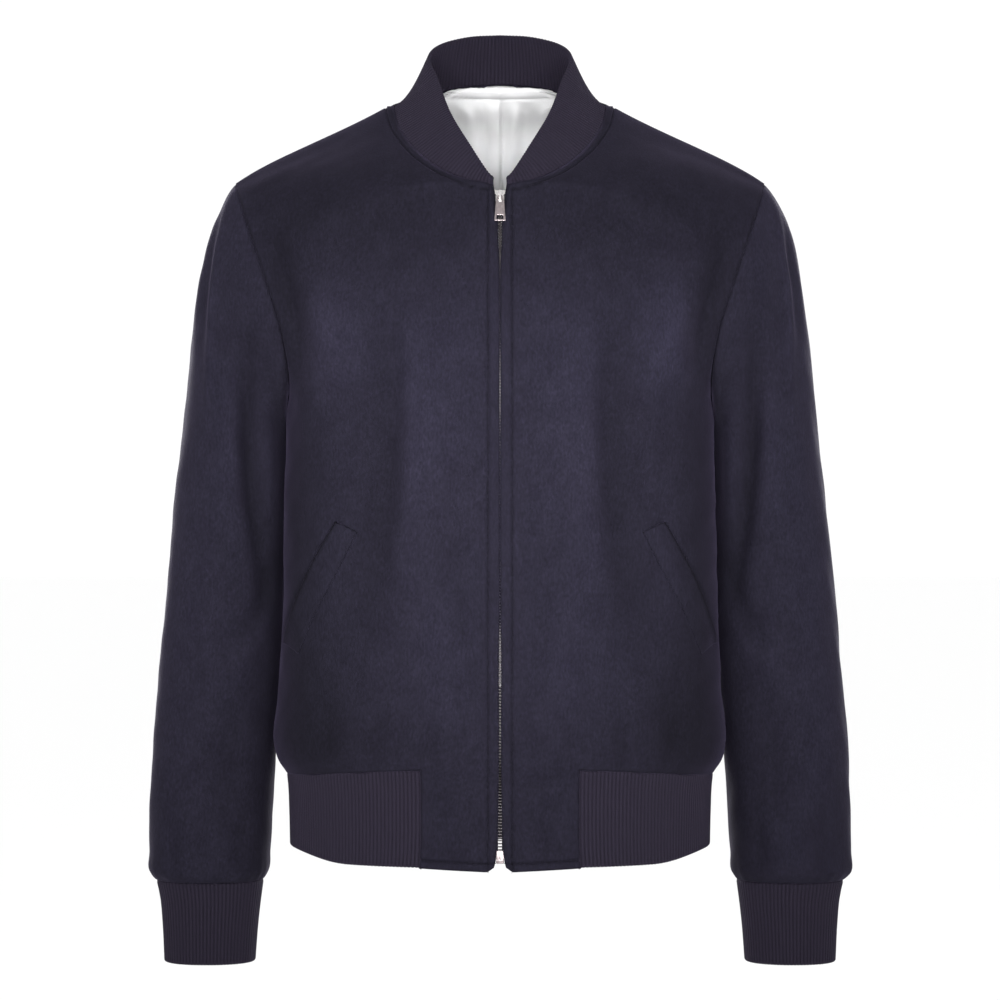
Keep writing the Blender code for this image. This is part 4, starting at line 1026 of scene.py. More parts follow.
def make_front(name, side):
    """One front, cut in one with the tab beside the zip that runs down to the bottom edge."""
    stations = cloth_stations(FRONT_COLUMNS, beside_tab=True)
    places = cloth_places(True, LAST_ROW, LAST_ROW - BOTTOM_STEPS)
    net = panel_net(True, stations, places)
    normals = net_normals(net, 0.0)
    relief = panel_relief(net, True, side)
    rim = net[:, 0]
    neck_rows = places <= NECK_ROWS - 1
    tab = int(np.argmin(np.abs(stations - TAB_STATION)))
    seam_index = int(np.argmin(np.abs(places - SEAM_ROW)))
    neck = distance_from(net, rim[neck_rows])
    edge = distance_from(net, rim[~neck_rows])
    armhole = distance_from(net, armhole_path(True))
    shoulder = distance_from(net, net[0])
    side_seam = distance_from(net, net[places >= TOP_ROWS - 1][:, -1])
    hem_seam = distance_from(net, net[seam_index, tab:])
    tab_side = distance_from(net, net[seam_index:, tab])
    bottom = distance_from(net, net[-1, :tab + 1])
    # painted light and shade for the colour: painted light on fold ridges and patches, painted
    # shade along seams, free edges and stitch lines
    nap_and_painted_light = panel_painted_light(net, True)
    for seam in (neck, armhole, side_seam, hem_seam, tab_side):
        relief += rolled(seam, SEAM_ROLL, SEAM_DEPTH)
        nap_and_painted_light += seam_painted_shade(seam)
    relief += rolled(shoulder, SEAM_ROLL, SHOULDER_DEPTH) * smooth(0.0, 0.004, neck)
    across, up = CORNER_SIZE
    corner = np.clip(1.0 - edge / across, 0.0, 1.0) * np.clip(1.0 - bottom / up, 0.0, 1.0)
    net[..., 2] += CORNER_RISE * corner * smooth(-0.60, -0.63, net[..., 2])
    for free in (edge, bottom):
        relief += rolled(free, EDGE_ROLL, EDGE_DEPTH)
        nap_and_painted_light += EDGE_PAINTED_SHADE * seam_painted_shade(free)
    relief += pocket_slot(net)
    below_neck = smooth(PLACKET_TOP + 0.013, PLACKET_TOP, net[..., 2])
    placket = -net[..., 0] - PLACKET_INSET
    relief += stitched(placket, PLACKET_STITCH) * below_neck
    relief += stitched(neck, NECK_STITCH) * smooth(0.004, 0.012, edge)
    relief += stitched(bottom, TAB_HEM_STITCH, band=False)
    nap_and_painted_light += stitch_painted_shade(placket, PLACKET_STITCH) * below_neck + stitch_painted_shade(bottom, TAB_HEM_STITCH)
    nap_and_painted_light += stitch_painted_shade(neck, NECK_STITCH) * NECK_STITCH_PAINTED_SHADE
    net = net + normals * relief[..., None]
    normals = net_normals(net, 0.0)
    i, j = np.meshgrid(np.arange(len(places) - 1), np.arange(len(stations) - 1), indexing="ij")
    keep = (i < seam_index) | (j < tab)
    piece = make_shell(name + "_wool", to_side(net, side), to_side(normals, side), WOOL_THICK, WOOL,
                       keep, nap_and_painted_light=nap_and_painted_light)
    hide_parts(name)
    below = places > NECK_ROWS - 1
    lines = [seam_line(net, normals, placket, PLACKET_STITCH, below & (net[:, 0, 2] < PLACKET_TOP)),
             seam_line(net, normals, neck, NECK_STITCH, places < NECK_ROWS - 0.6),
             bottom_line(net, normals, bottom, TAB_HEM_STITCH, tab)]
    return piece, [to_side(line, side) for line in lines]


def both_halves(net):
    """A right half joined to its mirror image, with one column in the middle."""
    left = net[:, :0:-1] * np.array([-1.0, 1.0, 1.0])
    return np.concatenate([left, net], axis=1)


def make_joined(name, halves, thickness, material, open_row, painted_light_halves):
    """One piece from both halves of a back, which meet in the middle from an open row down.

    Each half is a net and its normals, both on the right, and the second half is mirrored.
    """
    (right, right_out), (left, left_out) = halves
    rows, columns = right.shape[:2]
    net = np.concatenate([to_side(left, 1)[:, ::-1], right], axis=1)
    normals = np.concatenate([to_side(left_out, 1)[:, ::-1], right_out], axis=1)
    nap_and_painted_light = np.concatenate([painted_light_halves[1][:, ::-1], painted_light_halves[0]], axis=1)
    same = np.arange(rows * columns * 2).reshape(rows, columns * 2)
    same[open_row:, columns - 1] = same[open_row:, columns]
    keep = np.ones((rows - 1, columns * 2 - 1), bool)
    keep[:, columns - 1] = False
    return make_shell(name, net, normals, thickness, material, keep, same=same.ravel(), nap_and_painted_light=nap_and_painted_light)


def half_normals(net, middle_row):
    """Directions out of a back's right half, square to its middle line from a row down."""
    normals = net_normals(net, 0.0)
    normals[middle_row:, 0, 0] = 0.0
    return unit(normals)


BACK_NECK_STEPS = np.array([0.015, 0.035, 0.06, 0.075, 0.09, 0.105, 0.12, 0.14])


def make_back():
    """Plain back, the same form on both sides with its own soft waves on each."""
    stations = cloth_stations(BACK_COLUMNS)
    places = cloth_places(False, SEAM_ROW, NECK_ROWS - 1 + BACK_NECK_STEPS)
    half = panel_net(False, stations, places)
    open_row = int(np.argmin(np.abs(places - (NECK_ROWS - 1))))
    normals = half_normals(half, open_row)
    neck = distance_from(half, neck_path(False))
    armhole = distance_from(half, armhole_path(False))
    shoulder = distance_from(half, half[0])
    side_seam = distance_from(half, half[places >= TOP_ROWS - 1][:, -1])
    hem_seam = distance_from(half, half[-1])
    relief = []
    # painted light on folds and patches, painted shade along the seams and the neck's stitch line
    nap_and_painted_light = panel_painted_light(half, False) + stitch_painted_shade(neck, NECK_STITCH)
    for seam in (neck, armhole, side_seam, hem_seam):
        nap_and_painted_light += seam_painted_shade(seam)
    for side in (-1, 1):
        height = panel_relief(half, False, side)
        for seam in (neck, armhole, side_seam, hem_seam):
            height += rolled(seam, SEAM_ROLL, SEAM_DEPTH)
        height += rolled(shoulder, SEAM_ROLL, SHOULDER_DEPTH) * smooth(0.0, 0.004, neck)
        relief.append(height + stitched(neck, NECK_STITCH))
    middle = (relief[0] + relief[1]) / 2
    halves = []
    for height in relief:
        height = middle + (height - middle) * smooth(0.0, 0.04, -half[..., 0])
        net = half + normals * height[..., None]
        net[open_row:, 0, 0] = 0.0
        halves.append((net, half_normals(net, open_row)))
    piece = make_joined("back_wool", halves, WOOL_THICK, WOOL, open_row, [nap_and_painted_light, nap_and_painted_light])
    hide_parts("back")
    return piece


def ring_points(ring, share, towards):
    """Points round a sleeve or cuff at one height, squarer than an ellipse."""
    angle = pi * share
    across = np.sign(np.cos(angle)) * np.abs(np.cos(angle)) ** RING_SQUARENESS
    deep = np.abs(np.sin(angle)) ** RING_SQUARENESS * towards
    middle, half = (ring.outer + ring.inner) / 2, (ring.outer - ring.inner) / 2
    height = np.full(len(share), ring.height)
    return np.stack([-(middle + half * across), ring.depth + ring.half_depth * deep, height], -1)


ALLOWANCE_DEPTH = 0.0026  # the seam allowance, turned in behind the front and the back
ALLOWANCE_REACH = 0.0060
TOUCHING = 0.0042  # how far a sleeve swells to meet the body under the arm
TOUCHING_HEIGHT = -0.284
TOUCHING_SPREAD = (0.17, 0.034)  # share of the way round from the inner side, and height
SLEEVE_COLUMNS = 118
SLEEVE_FOLD_PAINTED_LIGHT = 1.5 * FOLD_PAINTED_LIGHT
INNER_PAINTED_SHADE, INNER_PAINTED_SHADE_REACH = -0.45, 0.26  # how much darker the painted shade makes the sleeve towards its inner side, which faces the body
STREAK_PAINTED_HIGHLIGHT = 0.26  # of the painted highlight streak down the front of the forearm
STREAK_PLACE, STREAK_REACH = 0.038, 0.030
GATHER_PITCH = 0.0168  # of the small gathers above the cuff
GATHER_HEIGHT = 0.0006
SLEEVE_HALF_ROUND = 0.180  # from the outer side to the inner side, for placing its folds


def round_places(count):
    """Shares round a tube from its outer side, and which way each place faces."""
    turn = np.linspace(0.0, 2.0, count, endpoint=False)
    share = np.where(turn <= 1.0, turn, 2.0 - turn)
    towards = np.where(turn <= 1.0, -1.0, 1.0)
    return share, towards


def sleeve_net(count):
    """Plain surface of a sleeve and its turned-in edge: a cap from the seam, then the rings."""
    share, towards = round_places(count)
    front = towards < 0.0

    def either(function, *arguments):
        there, here = function(share, True, *arguments), function(share, False, *arguments)
        return np.where(front[:, None], there, here)

    seam = either(armhole_point)
    lead = either(armhole_lead, "sleeve")
    flat = either(armhole_lead, "panel")
    fade = smooth(*CAP_RIDGE, share)[:, None]
    flat = unit(flat * (1 - fade) + lead * fade)
    first = ring_points(SLEEVE_RINGS[0], share, towards)
    below = ring_points(SLEEVE_RINGS[1], share, towards)
    drop = np.linalg.norm(seam - first, axis=1)[:, None]
    start = seam + flat * STRIP
    reach_in = lead * (CAP_REACH * drop + CAP_REACH_LEAST)
    reach_out = unit(first - below) * drop * CAP_RISE
    cap = [bezier(start, reach_in, reach_out, first, step) for step in CAP_STEPS]
    rings = [ring_points(ring, share, towards) for ring in SLEEVE_RINGS]
    rows = np.array([seam, start] + cap + rings)
    lengths = np.linalg.norm(np.diff(rows, axis=0), axis=-1).mean(axis=1)
    stops = np.concatenate([[0.0], np.cumsum(lengths)])
    places = steps_between(stops, lengths, NET_PITCH)
    extra = np.array([0.0008, 0.0016, stops[-1] - 0.0008, stops[-1] - 0.0016])
    places = np.unique(np.concatenate([places, extra]))
    net = cubic_through(rows, stops, places)
    out = np.stack([0.0 * share, towards * np.sin(pi * share), np.cos(pi * share)], -1)
    turned_in = net[0] - out * ALLOWANCE_DEPTH + np.array([ALLOWANCE_REACH, 0.0, 0.0])
    return net, turned_in, share, towards


def make_sleeve(name, side):
    """Sleeve from its armhole seam to the cuff, with the seam allowance turned in."""
    net, turned_in, share, towards = sleeve_net(SLEEVE_COLUMNS)
    centre = net.mean(axis=1, keepdims=True)
    normals = net_normals(net, centre, closed=True)
    round_way = -np.broadcast_to(towards * share * SLEEVE_HALF_ROUND, net.shape[:2])
    height = net[..., 2]
    relief = fold_heights(round_way, height, SLEEVE_FOLDS)
    # painted light: lighter on fold ridges, darker in troughs
    nap_and_painted_light = 1.0 + SLEEVE_FOLD_PAINTED_LIGHT * relief
    relief += unevenness(net, 31 + side, WOOL_WAVES)
    inner = 1.0 - np.abs(round_way) / SLEEVE_HALF_ROUND
    wide, high = TOUCHING_SPREAD
    touching = np.exp(-((inner / wide) ** 2)) * np.exp(-(((height - TOUCHING_HEIGHT) / high) ** 2))
    seam = distance_from(net, np.concatenate([net[0], net[:1, 0]]))
    bottom = distance_from(net, np.concatenate([net[-1], net[-1:, 0]]))
    relief *= smooth(0.002, 0.030, seam) * smooth(0.001, 0.010, bottom)
    # painted shade towards the inner side, a painted highlight streak down the forearm, painted
    # shade along the seams
    nap_and_painted_light += INNER_PAINTED_SHADE * np.exp(-((inner / INNER_PAINTED_SHADE_REACH) ** 2))
    streak = np.exp(-(((round_way - STREAK_PLACE) / STREAK_REACH) ** 2))
    nap_and_painted_light += STREAK_PAINTED_HIGHLIGHT * streak * smooth(-0.70, -0.50, height)
    nap_and_painted_light += seam_painted_shade(seam) + seam_painted_shade(bottom)
    relief += TOUCHING * touching * smooth(0.0005, 0.007, seam)
    gathers = np.cos(2 * pi * round_way / GATHER_PITCH + 1.3 * np.sin(round_way * 90.0 + side))
    relief += GATHER_HEIGHT * gathers * np.exp(-bottom / 0.010) * smooth(0.0, 0.004, bottom)
    relief += rolled(seam, SEAM_ROLL, SEAM_DEPTH) + rolled(bottom, SEAM_ROLL, SEAM_DEPTH)
    net = net + normals * relief[..., None]
    normals = net_normals(net, centre, closed=True)
    halfway = net[0] * 0.5 + turned_in * 0.5
    net = np.concatenate([[turned_in, halfway], net])
    normals = np.concatenate([normals[:1], normals[:1], normals])
    nap_and_painted_light = np.concatenate([nap_and_painted_light[:1], nap_and_painted_light[:1], nap_and_painted_light])
    piece = make_shell(name + "_wool", to_side(net, side), to_side(normals, side), WOOL_THICK, WOOL,
                       closed=True, nap_and_painted_light=nap_and_painted_light)
    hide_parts(name)
    return piece


# ---------------------------------------------------------------- rib knit pieces


def make_band(name, net, centre, phase, closed=False):
    """Doubled rib knit, folded at its free edge, with a rib up each pitch of its phase.

    The net runs from the seam to the folded edge. The knit's cross-section goes up its outer
    side, round the fold and back down its inner side.
    """
    normals = net_normals(net, centre, closed)
    rows, columns = net.shape[:2]
    middle = net - normals * (RIB_THICK / 2)
    height = run_down(net)
    half = RIB_THICK / 2 + RIB_HEIGHT * (np.abs(np.cos(pi * phase)) ** RIB_SHARPNESS - RIB_MIDDLE)
    half = np.broadcast_to(half, (rows, columns))
    if not closed:
        reach = np.minimum(distance_from(net, net[:, 0]), distance_from(net, net[:, -1]))
        ends = np.clip(reach / BAND_END_ROLL, 0.0, 1.0)
        half = half * np.sqrt(1.0 - (1.0 - ends) ** 2 * 0.97)
    tuck = 1.0 - BAND_TUCK * np.exp(-(height / BAND_TUCK_REACH) ** 2)
    half = half * tuck[:, None]
    edge_way = unit(middle[-1] - middle[-2])
    loop = [middle[i] + normals[i] * half[i][:, None] for i in range(rows)]
    run = list(height)
    for step in range(1, FOLD_STEPS):
        turn = pi * step / FOLD_STEPS
        way = normals[-1] * np.cos(turn) + edge_way * np.sin(turn)
        loop.append(middle[-1] + way * half[-1][:, None])
        run.append(height[-1] + RIB_THICK / 2 * turn)
    for i in reversed(range(rows)):
        loop.append(middle[i] - normals[i] * half[i][:, None])
        run.append(run[-1] + (height[min(i + 1, rows - 1)] - height[i]))
    count = len(loop)
    points = np.array(loop).reshape(-1, 3)
    away = np.concatenate([normals.reshape(-1, 3), np.zeros(((count - rows) * columns, 3))])
    quads = facing_out(points, net_quads(count, columns, closed), away)
    start = np.arange(columns if closed else columns - 1)
    end = (start + 1) % columns
    top = (count - 1) * columns
    seam = np.stack([start, end, end + top, start + top], -1)
    faces = [tuple(quad) for quad in quads] + [tuple(quad) for quad in seam]
    if not closed:
        for j in (0, columns - 1):
            faces.append(tuple(np.arange(count) * columns + j))
    uv = np.stack([np.broadcast_to(phase, (count, columns)),
                   np.broadcast_to(np.array(run)[:, None], (count, columns))], -1).reshape(-1, 2)
    piece = make_piece(name, points, faces, KNIT, uv)
    turn_faces_out(piece.data)
    return piece


def rib_phase(length):
    """Count of ribs along the right half of a band, from its end to the middle of the back."""
    ribs = int(round(2 * length / RIB_PITCH))
    return np.linspace(0.0, ribs / 2, ribs * RIB_POINTS // 2 + 1)


def spaced_along(net, run, at):
    """The same net with its columns at other places along it."""
    return np.stack([np.stack([np.interp(at, run, row[:, axis]) for axis in range(3)], -1)
                     for row in net])


def make_whole_band(name, half, phase):
    """Band from its right half and the mirror image of it, joined in the middle of the back."""
    whole = np.concatenate([phase, 2 * phase[-1] - phase[-2::-1]])
    return make_band(name, both_halves(half[:, ::-1]), np.zeros(3), whole)


def neck_seam(angles):
    """The neck seam of the right half: angles below zero are on the front."""
    return np.where((angles < 0.0)[:, None], neck_point(np.abs(angles), True),
                    neck_point(np.abs(angles), False))


def make_collar():
    """Collar band, from the tip of one front round the back of the neck to the other."""
    angles = np.linspace(-NECK_TIP_ANGLE, 90.0, 400)
    run = run_along(neck_seam(angles))
    phase = rib_phase(run[-1])
    at = np.interp(phase / phase[-1] * run[-1], run, angles)
    seam = neck_seam(at)
    tops = np.stack([column(COLLAR, axis) for axis in "xyz"], -1)
    top = cubic_through(tops, column(COLLAR, "seam_angle"), at)
    bulge = unit(np.stack([seam[:, 0], seam[:, 1], np.full(len(at), COLLAR_BULGE_LIFT)], -1))
    full = np.minimum(np.linalg.norm(top - seam, axis=1) / COLLAR_FULL_HEIGHT, 1.0)
    flaring = COLLAR_FLARE * np.exp(-(((at - COLLAR_FLARE_ANGLE) / COLLAR_FLARE_SPREAD) ** 2))
    rows = []
    for share in COLLAR_SHARES:
        swell = COLLAR_BULGE * 4 * share * (1 - share)
        flare = flaring * np.sin(pi * share**0.7)
        row = seam + (top - seam) * share + bulge * (swell * full - flare)[:, None]
        row[:, 2] -= COLLAR_FOOT * smooth(*COLLAR_FOOT_ANGLES, -at) * (1.0 - share) ** 3
        rows.append(row)
    piece = make_whole_band("collar_knit", np.array(rows), phase)
    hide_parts("collar_rib")
    return piece


HEM_SIDE_RISE = 0.0078  # how far its lower edge turns up at the sides
HEM_SIDE = (0.125, 0.183)
HEM_WAVE = 0.0007
HEM_COLUMNS = 200  # of its plain net, before the ribs are spaced along it


def make_hem():
    """Hem band, from one tab round the back to the other."""
    places = np.linspace(SEAM_ROW, LAST_ROW, BAND_ROWS)
    places = np.unique(np.concatenate([places, SEAM_ROW + np.array([0.1, 0.25])]))
    front = panel_net(True, np.linspace(TAB_STATION, 1.0, HEM_COLUMNS), places)
    back = panel_net(False, np.linspace(0.0, 1.0, HEM_COLUMNS), places)
    half = np.concatenate([front, back[:, ::-1][:, 1:]], axis=1)
    lengths = np.linalg.norm(np.diff(half, axis=1), axis=-1).mean(axis=0)
    run = np.concatenate([[0.0], np.cumsum(lengths)])
    phase = rib_phase(run[-1])
    half = spaced_along(half, run, phase / phase[-1] * run[-1])
    half[:, -1, 0] = 0.0
    share = (half[:1, :, 2] - half[..., 2]) / (half[:1, :, 2] - half[-1:, :, 2])
    half[..., 2] += HEM_SIDE_RISE * share**1.5 * smooth(*HEM_SIDE, np.abs(half[..., 0])) ** 1.3
    half[..., 2] -= HEM_WAVE * np.sin(half[..., 0] * 150.0) * (1.0 - share)
    piece = make_whole_band("hem_knit", half, phase)
    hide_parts("hem_rib")
    return piece


CUFF_COLUMNS = 900


def make_cuff(name, side):
    """Cuff, a closed band below the sleeve."""
    share, towards = round_places(CUFF_COLUMNS)
    rings = np.array([ring_points(ring, share, towards) for ring in CUFF_RINGS])
    heights = column(CUFF_RINGS, "height")
    places = np.linspace(0.0, heights[0] - heights[-1], BAND_ROWS)
    places = np.unique(np.concatenate([places, [0.0012, 0.0026]]))
    net = cubic_through(rings, heights[0] - heights, places)
    looped = np.concatenate([net, net[:, :1]], axis=1)
    run = run_along(looped[3])
    ribs = int(round(run[-1] / RIB_PITCH))
    at = np.linspace(0.0, run[-1], ribs * RIB_POINTS, endpoint=False)
    net = spaced_along(looped, run, at)
    centre = net.mean(axis=1, keepdims=True)
    piece = make_band(name + "_knit", to_side(net, side), to_side(centre, side),
                      at / run[-1] * ribs, closed=True)
    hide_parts(name)
    return piece


# ---------------------------------------------------------------- white lining

LINING_ROWS = ((2.0, 3.4, 12), (3.4, 6.0, 56), (6.0, 6.3, 20), (6.3, 7.0, 24), (7.0, 16.0, 90))
LINING_REACH = 0.87
LINING_GAP = 0.0007
LINING_SLACK = 0.0050
LINING_SLACK_ROWS = (3.0, 9.0)
LINING_BAND = 0.0180  # height of the stitch line under the neck band
LINING_BAND_RISE = 0.0007
LINING_SEAM_DENT = 0.0007
PLEAT_DEPTH = 0.0060
PLEAT_OTHER_SIDE = -0.30  # of that depth, where the cloth beside the pleat lies back
PLEAT_TOP = 0.018
PLEAT_FOOT = -0.080
PLEAT_SHIFT = 0.0062
LINING_UNDER = 0.0014  # how far its top edge stays below the collar
LINING_CLEAR = 0.0010  # more room behind it below the neck seam
LINING_WOOL_ROOM = 1.3  # times the depth of the wool's hollows that it keeps away from them
LINING_PAINTED_LIGHT = (0.335, 0.85)  # painted light: its tone at the neck, kept low against the lamps' strong light there, and how much lighter it is painted lower down, where the fronts shade it
LINING_PAINTED_LIGHT_HEIGHTS = (0.008, -0.045)
LINING_CORNER = 0.0215  # height at the centre back where it turns down from the neck seam
LINING_CORNER_CLEAR = 0.0018
LINING_FOLD_PAINTED_LIGHT = 26.0  # painted highlight on each metre of a fold's ridge, painted shade in a trough
LINING_BAND_TONE = 0.18  # how much lighter the neck band is
LINING_SEAM_PAINTED_SHADE = 0.22  # painted shade in the dent of the stitch line below it
PLEAT_PAINTED_SHADE = 0.34  # painted shade in the pleat's fold
PLEAT_START = 0.22  # how far the pleat is open just below the band
LINING_NEAR = (0.0, 0.004, 0.008, 0.012, 0.017, 0.023, 0.030, 0.038, 0.047, 0.057, 0.068, 0.080)

# Seen from the front: distance towards the wearer's left and height. Ridges stand out forwards.
LINING_FOLDS = (
    Fold(((-0.058, 0.006), (-0.050, -0.014), (-0.044, -0.030)), 0.006, 0.005, 0.0020),
    Fold(((-0.044, 0.014), (-0.036, -0.010), (-0.031, -0.040)), 0.007, 0.007, -0.0022),
    Fold(((-0.030, 0.014), (-0.024, -0.020), (-0.017, -0.060)), 0.006, 0.007, 0.0030),
    Fold(((-0.016, 0.010), (-0.012, -0.030), (-0.008, -0.070)), 0.005, 0.004, -0.0020),
    Fold(((0.014, 0.014), (0.013, -0.020), (0.010, -0.060)), 0.005, 0.006, 0.0022),
    Fold(((0.026, 0.014), (0.021, -0.015), (0.016, -0.050)), 0.005, 0.005, -0.0018),
    Fold(((0.040, 0.014), (0.036, -0.010), (0.028, -0.036)), 0.006, 0.006, 0.0024),
    Fold(((0.054, 0.012), (0.050, -0.004), (0.040, -0.024)), 0.006, 0.006, -0.0016),
    Fold(((-0.070, -0.060), (-0.050, -0.160), (-0.058, -0.260)), 0.012, 0.014, 0.0030),
    Fold(((0.074, -0.080), (0.052, -0.180), (0.062, -0.300)), 0.012, 0.014, 0.0030),
    Fold(((0.020, -0.120), (0.026, -0.220), (0.018, -0.340)), 0.014, 0.012, 0.0024),
)


def make_lining():
    """Lining of the back, with a band at the neck and a pleat down its middle."""
    stations = np.unique(np.concatenate([LINING_NEAR, np.linspace(0.094, LINING_REACH, 52)]))
    places = np.unique(np.concatenate([np.linspace(*span) for span in LINING_ROWS]))
    plain = panel_net(False, stations, places)
    open_row = int(np.argmin(np.abs(places - (NECK_ROWS - 1))))
    normals = half_normals(plain, open_row)
    wool = np.minimum(panel_relief(plain, False, 0), 0.0)
    neck = distance_from(plain, neck_path(False))
    slack = smooth(*LINING_SLACK_ROWS, places)[:, None] * smooth(0.002, 0.030, neck)
    clear = LINING_CLEAR * smooth(0.0005, 0.006, neck)
    under = LINING_UNDER * np.exp(-((plain[..., 2] - NECK_BACK_RISE) / 0.004) ** 2)
    halves, tones = [], []
    for side in (-1, 1):
        across, height = plain[..., 0] * -side, plain[..., 2]
        inward = WOOL_THICK + LINING_GAP + clear + LINING_SLACK * slack
        inward = inward - wool * LINING_WOOL_ROOM
        free = smooth(LINING_BAND + 0.001, LINING_BAND - 0.012, height)
        waves = unevenness(plain, 71 + side, LINING_WAVES) * smooth(0.0, 0.03, np.abs(across))
        folds = fold_heights(across, height, LINING_FOLDS)
        inward = inward + (folds + waves) * free
        opens = PLEAT_START * smooth(PLEAT_TOP, PLEAT_TOP - 0.012, height)
        opens = opens + (1.0 - PLEAT_START) * smooth(PLEAT_TOP, PLEAT_FOOT, height)
        deep = PLEAT_DEPTH * opens * smooth(-0.36, -0.24, height)
        fold_line = PLEAT_SHIFT * smooth(-0.050, -0.085, height)
        off = across - fold_line
        pleat = np.where(off <= 0.0004, np.exp(np.minimum(off, 0.0) / 0.012),
                         PLEAT_OTHER_SIDE * np.exp(-np.maximum(off, 0.0) / 0.010))
        inward = inward + deep * pleat
        band = smooth(LINING_BAND - 0.0012, LINING_BAND + 0.0002, height)
        seam = np.exp(-(((height - LINING_BAND + 0.0008) / 0.0011) ** 2))
        inward = inward + LINING_BAND_RISE * band - LINING_SEAM_DENT * seam * (1.0 - slack)
        # painted light in the lining's colour: lighter lower down where the fronts shade it,
        # painted highlights on fold ridges, painted shade in the stitch line's dent and the pleat's
        # fold
        tone = LINING_PAINTED_LIGHT[0] + LINING_PAINTED_LIGHT[1] * smooth(*LINING_PAINTED_LIGHT_HEIGHTS, height)
        tone = tone * (1.0 + LINING_FOLD_PAINTED_LIGHT * folds * free)
        tone = tone * (1.0 + LINING_BAND_TONE * band) * (1.0 - LINING_SEAM_PAINTED_SHADE * seam)
        tones.append(tone * (1.0 - PLEAT_PAINTED_SHADE * opens * np.exp(-((off / 0.0010) ** 2))))
        net = plain - normals * inward[..., None]
        net[..., 2] -= under
        beside = np.hypot(across / 0.006, (height - LINING_CORNER) / 0.004)
        net[..., 1] -= LINING_CORNER_CLEAR * np.exp(-(beside**2))
        net[open_row:, 0, 0] = 0.0
        halves.append((net, half_normals(net, open_row)))
    piece = make_joined("back_lining_satin", halves, LINING_THICK, SATIN, open_row, tones)
    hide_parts("back_lining")
    return piece


# ---------------------------------------------------------------- pocket welts

WELT_WALL = 0.0013  # thickness of its cloth
WELT_LIFT = 0.0006
WELT_ROUND = 0.0014
WELT_ROUND_DEPTH = 0.0009
WELT_OPENING_PAINTED_SHADE, WELT_TOP_PAINTED_SHADE, WELT_SEWN_PAINTED_SHADE = 0.85, 0.42, 0.24  # painted shade along its edges: the opening, the top end and the sewn edge
WELT_SEWN_REACH = 0.0100
WELT_SEWN_LIFT = 0.0007
WELT_SEWN_DENT = 0.0004  # along its sewn edge
WELT_FADE = 0.65  # how much fainter the painted shade along its edges is at the foot
# Shares from its top end to its foot, and from its opening to its sewn edge.
WELT_ROWS = np.concatenate([[0.0, 0.006, 0.014, 0.024], np.linspace(0.04, 0.96, 44),
                            [0.976, 0.986, 0.994, 1.0]])
WELT_COLUMNS = np.array([0.0, 0.02, 0.05, 0.09, 0.14, 0.25, 0.40, 0.55, 0.70, 0.80, 0.86, 0.91,
                         0.95, 0.98, 1.0])


def on_surface(tree, points):
    """Where points seen from the front lie on a piece, and how it faces there."""
    places, ways = [], []
    for x, z in points:
        place, way = tree.ray_cast(Vector((x, -1.0, z)), Vector((0.0, 1.0, 0.0)))[:2]
        places.append(place)
        ways.append(way if way.y < 0.0 else -way)
    return np.array(places), np.array(ways)


def make_welt(name, side, tree):
    """Slanted welt lying on the front: open along its outer edge, sewn along its inner one."""
    along_it, over_it = WELT_ROWS, WELT_COLUMNS
    even = np.linspace(0.0, 1.0, 61)
    lines = (cubic_at(column(WELT, name), even * (len(WELT) - 1)) for name in Welt._fields)
    opening_x, opening_z, sewn_x, sewn_z = (np.interp(along_it, even, line) for line in lines)
    x = opening_x[:, None] + (sewn_x - opening_x)[:, None] * over_it
    z = opening_z[:, None] + (sewn_z - opening_z)[:, None] * over_it
    places, ways = on_surface(tree, np.stack([x * side, z], -1).reshape(-1, 2))
    places, ways = places.reshape(x.shape + (3,)), ways.reshape(x.shape + (3,))
    ways = unit(ways.mean(axis=1, keepdims=True) + 0.0 * ways)
    width = np.hypot(sewn_x - opening_x, sewn_z - opening_z)[:, None]
    length = np.linalg.norm(places[-1, 7] - places[0, 7])
    from_opening, from_sewn = over_it * width, (1.0 - over_it) * width
    from_end = np.minimum(along_it, 1.0 - along_it)[:, None] * length
    foot = smooth(-0.004, 0.10, 1.0 - along_it)[:, None]
    sewn_down = smooth(0.0, WELT_SEWN_REACH, from_sewn) * foot
    lift = WELT_SEWN_LIFT + (WELT_LIFT + WELT_THICK - WELT_SEWN_LIFT) * sewn_down
    lift = lift + slot_depth(from_opening) * (1.0 - smooth(0.0, 0.006, from_opening))
    for free in (from_opening, from_end):
        lift = lift + rolled(free, WELT_ROUND, WELT_ROUND_DEPTH)
    lift -= WELT_SEWN_DENT * np.exp(-(((from_sewn - 0.0012) / 0.0009) ** 2))
    net = places + ways * lift[..., None]
    from_top = along_it[:, None] * length
    fading = 1.0 - WELT_FADE * along_it[:, None]
    # painted light of the front under it, and painted shade along its opening, top end and sewn
    # edge
    nap_and_painted_light = panel_painted_light(to_side(net, side), True)
    nap_and_painted_light -= WELT_OPENING_PAINTED_SHADE * np.exp(-((from_opening / 0.0015) ** 2)) * fading
    nap_and_painted_light -= WELT_TOP_PAINTED_SHADE * np.exp(-((from_top / 0.0009) ** 2))
    nap_and_painted_light -= WELT_SEWN_PAINTED_SHADE * np.exp(-((from_sewn / 0.0010) ** 2)) * fading**2
    piece = make_shell(name + "_wool", net, ways, WELT_WALL, WOOL, nap_and_painted_light=nap_and_painted_light)
    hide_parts(name)
    return piece


# ---------------------------------------------------------------- things repeated along a path


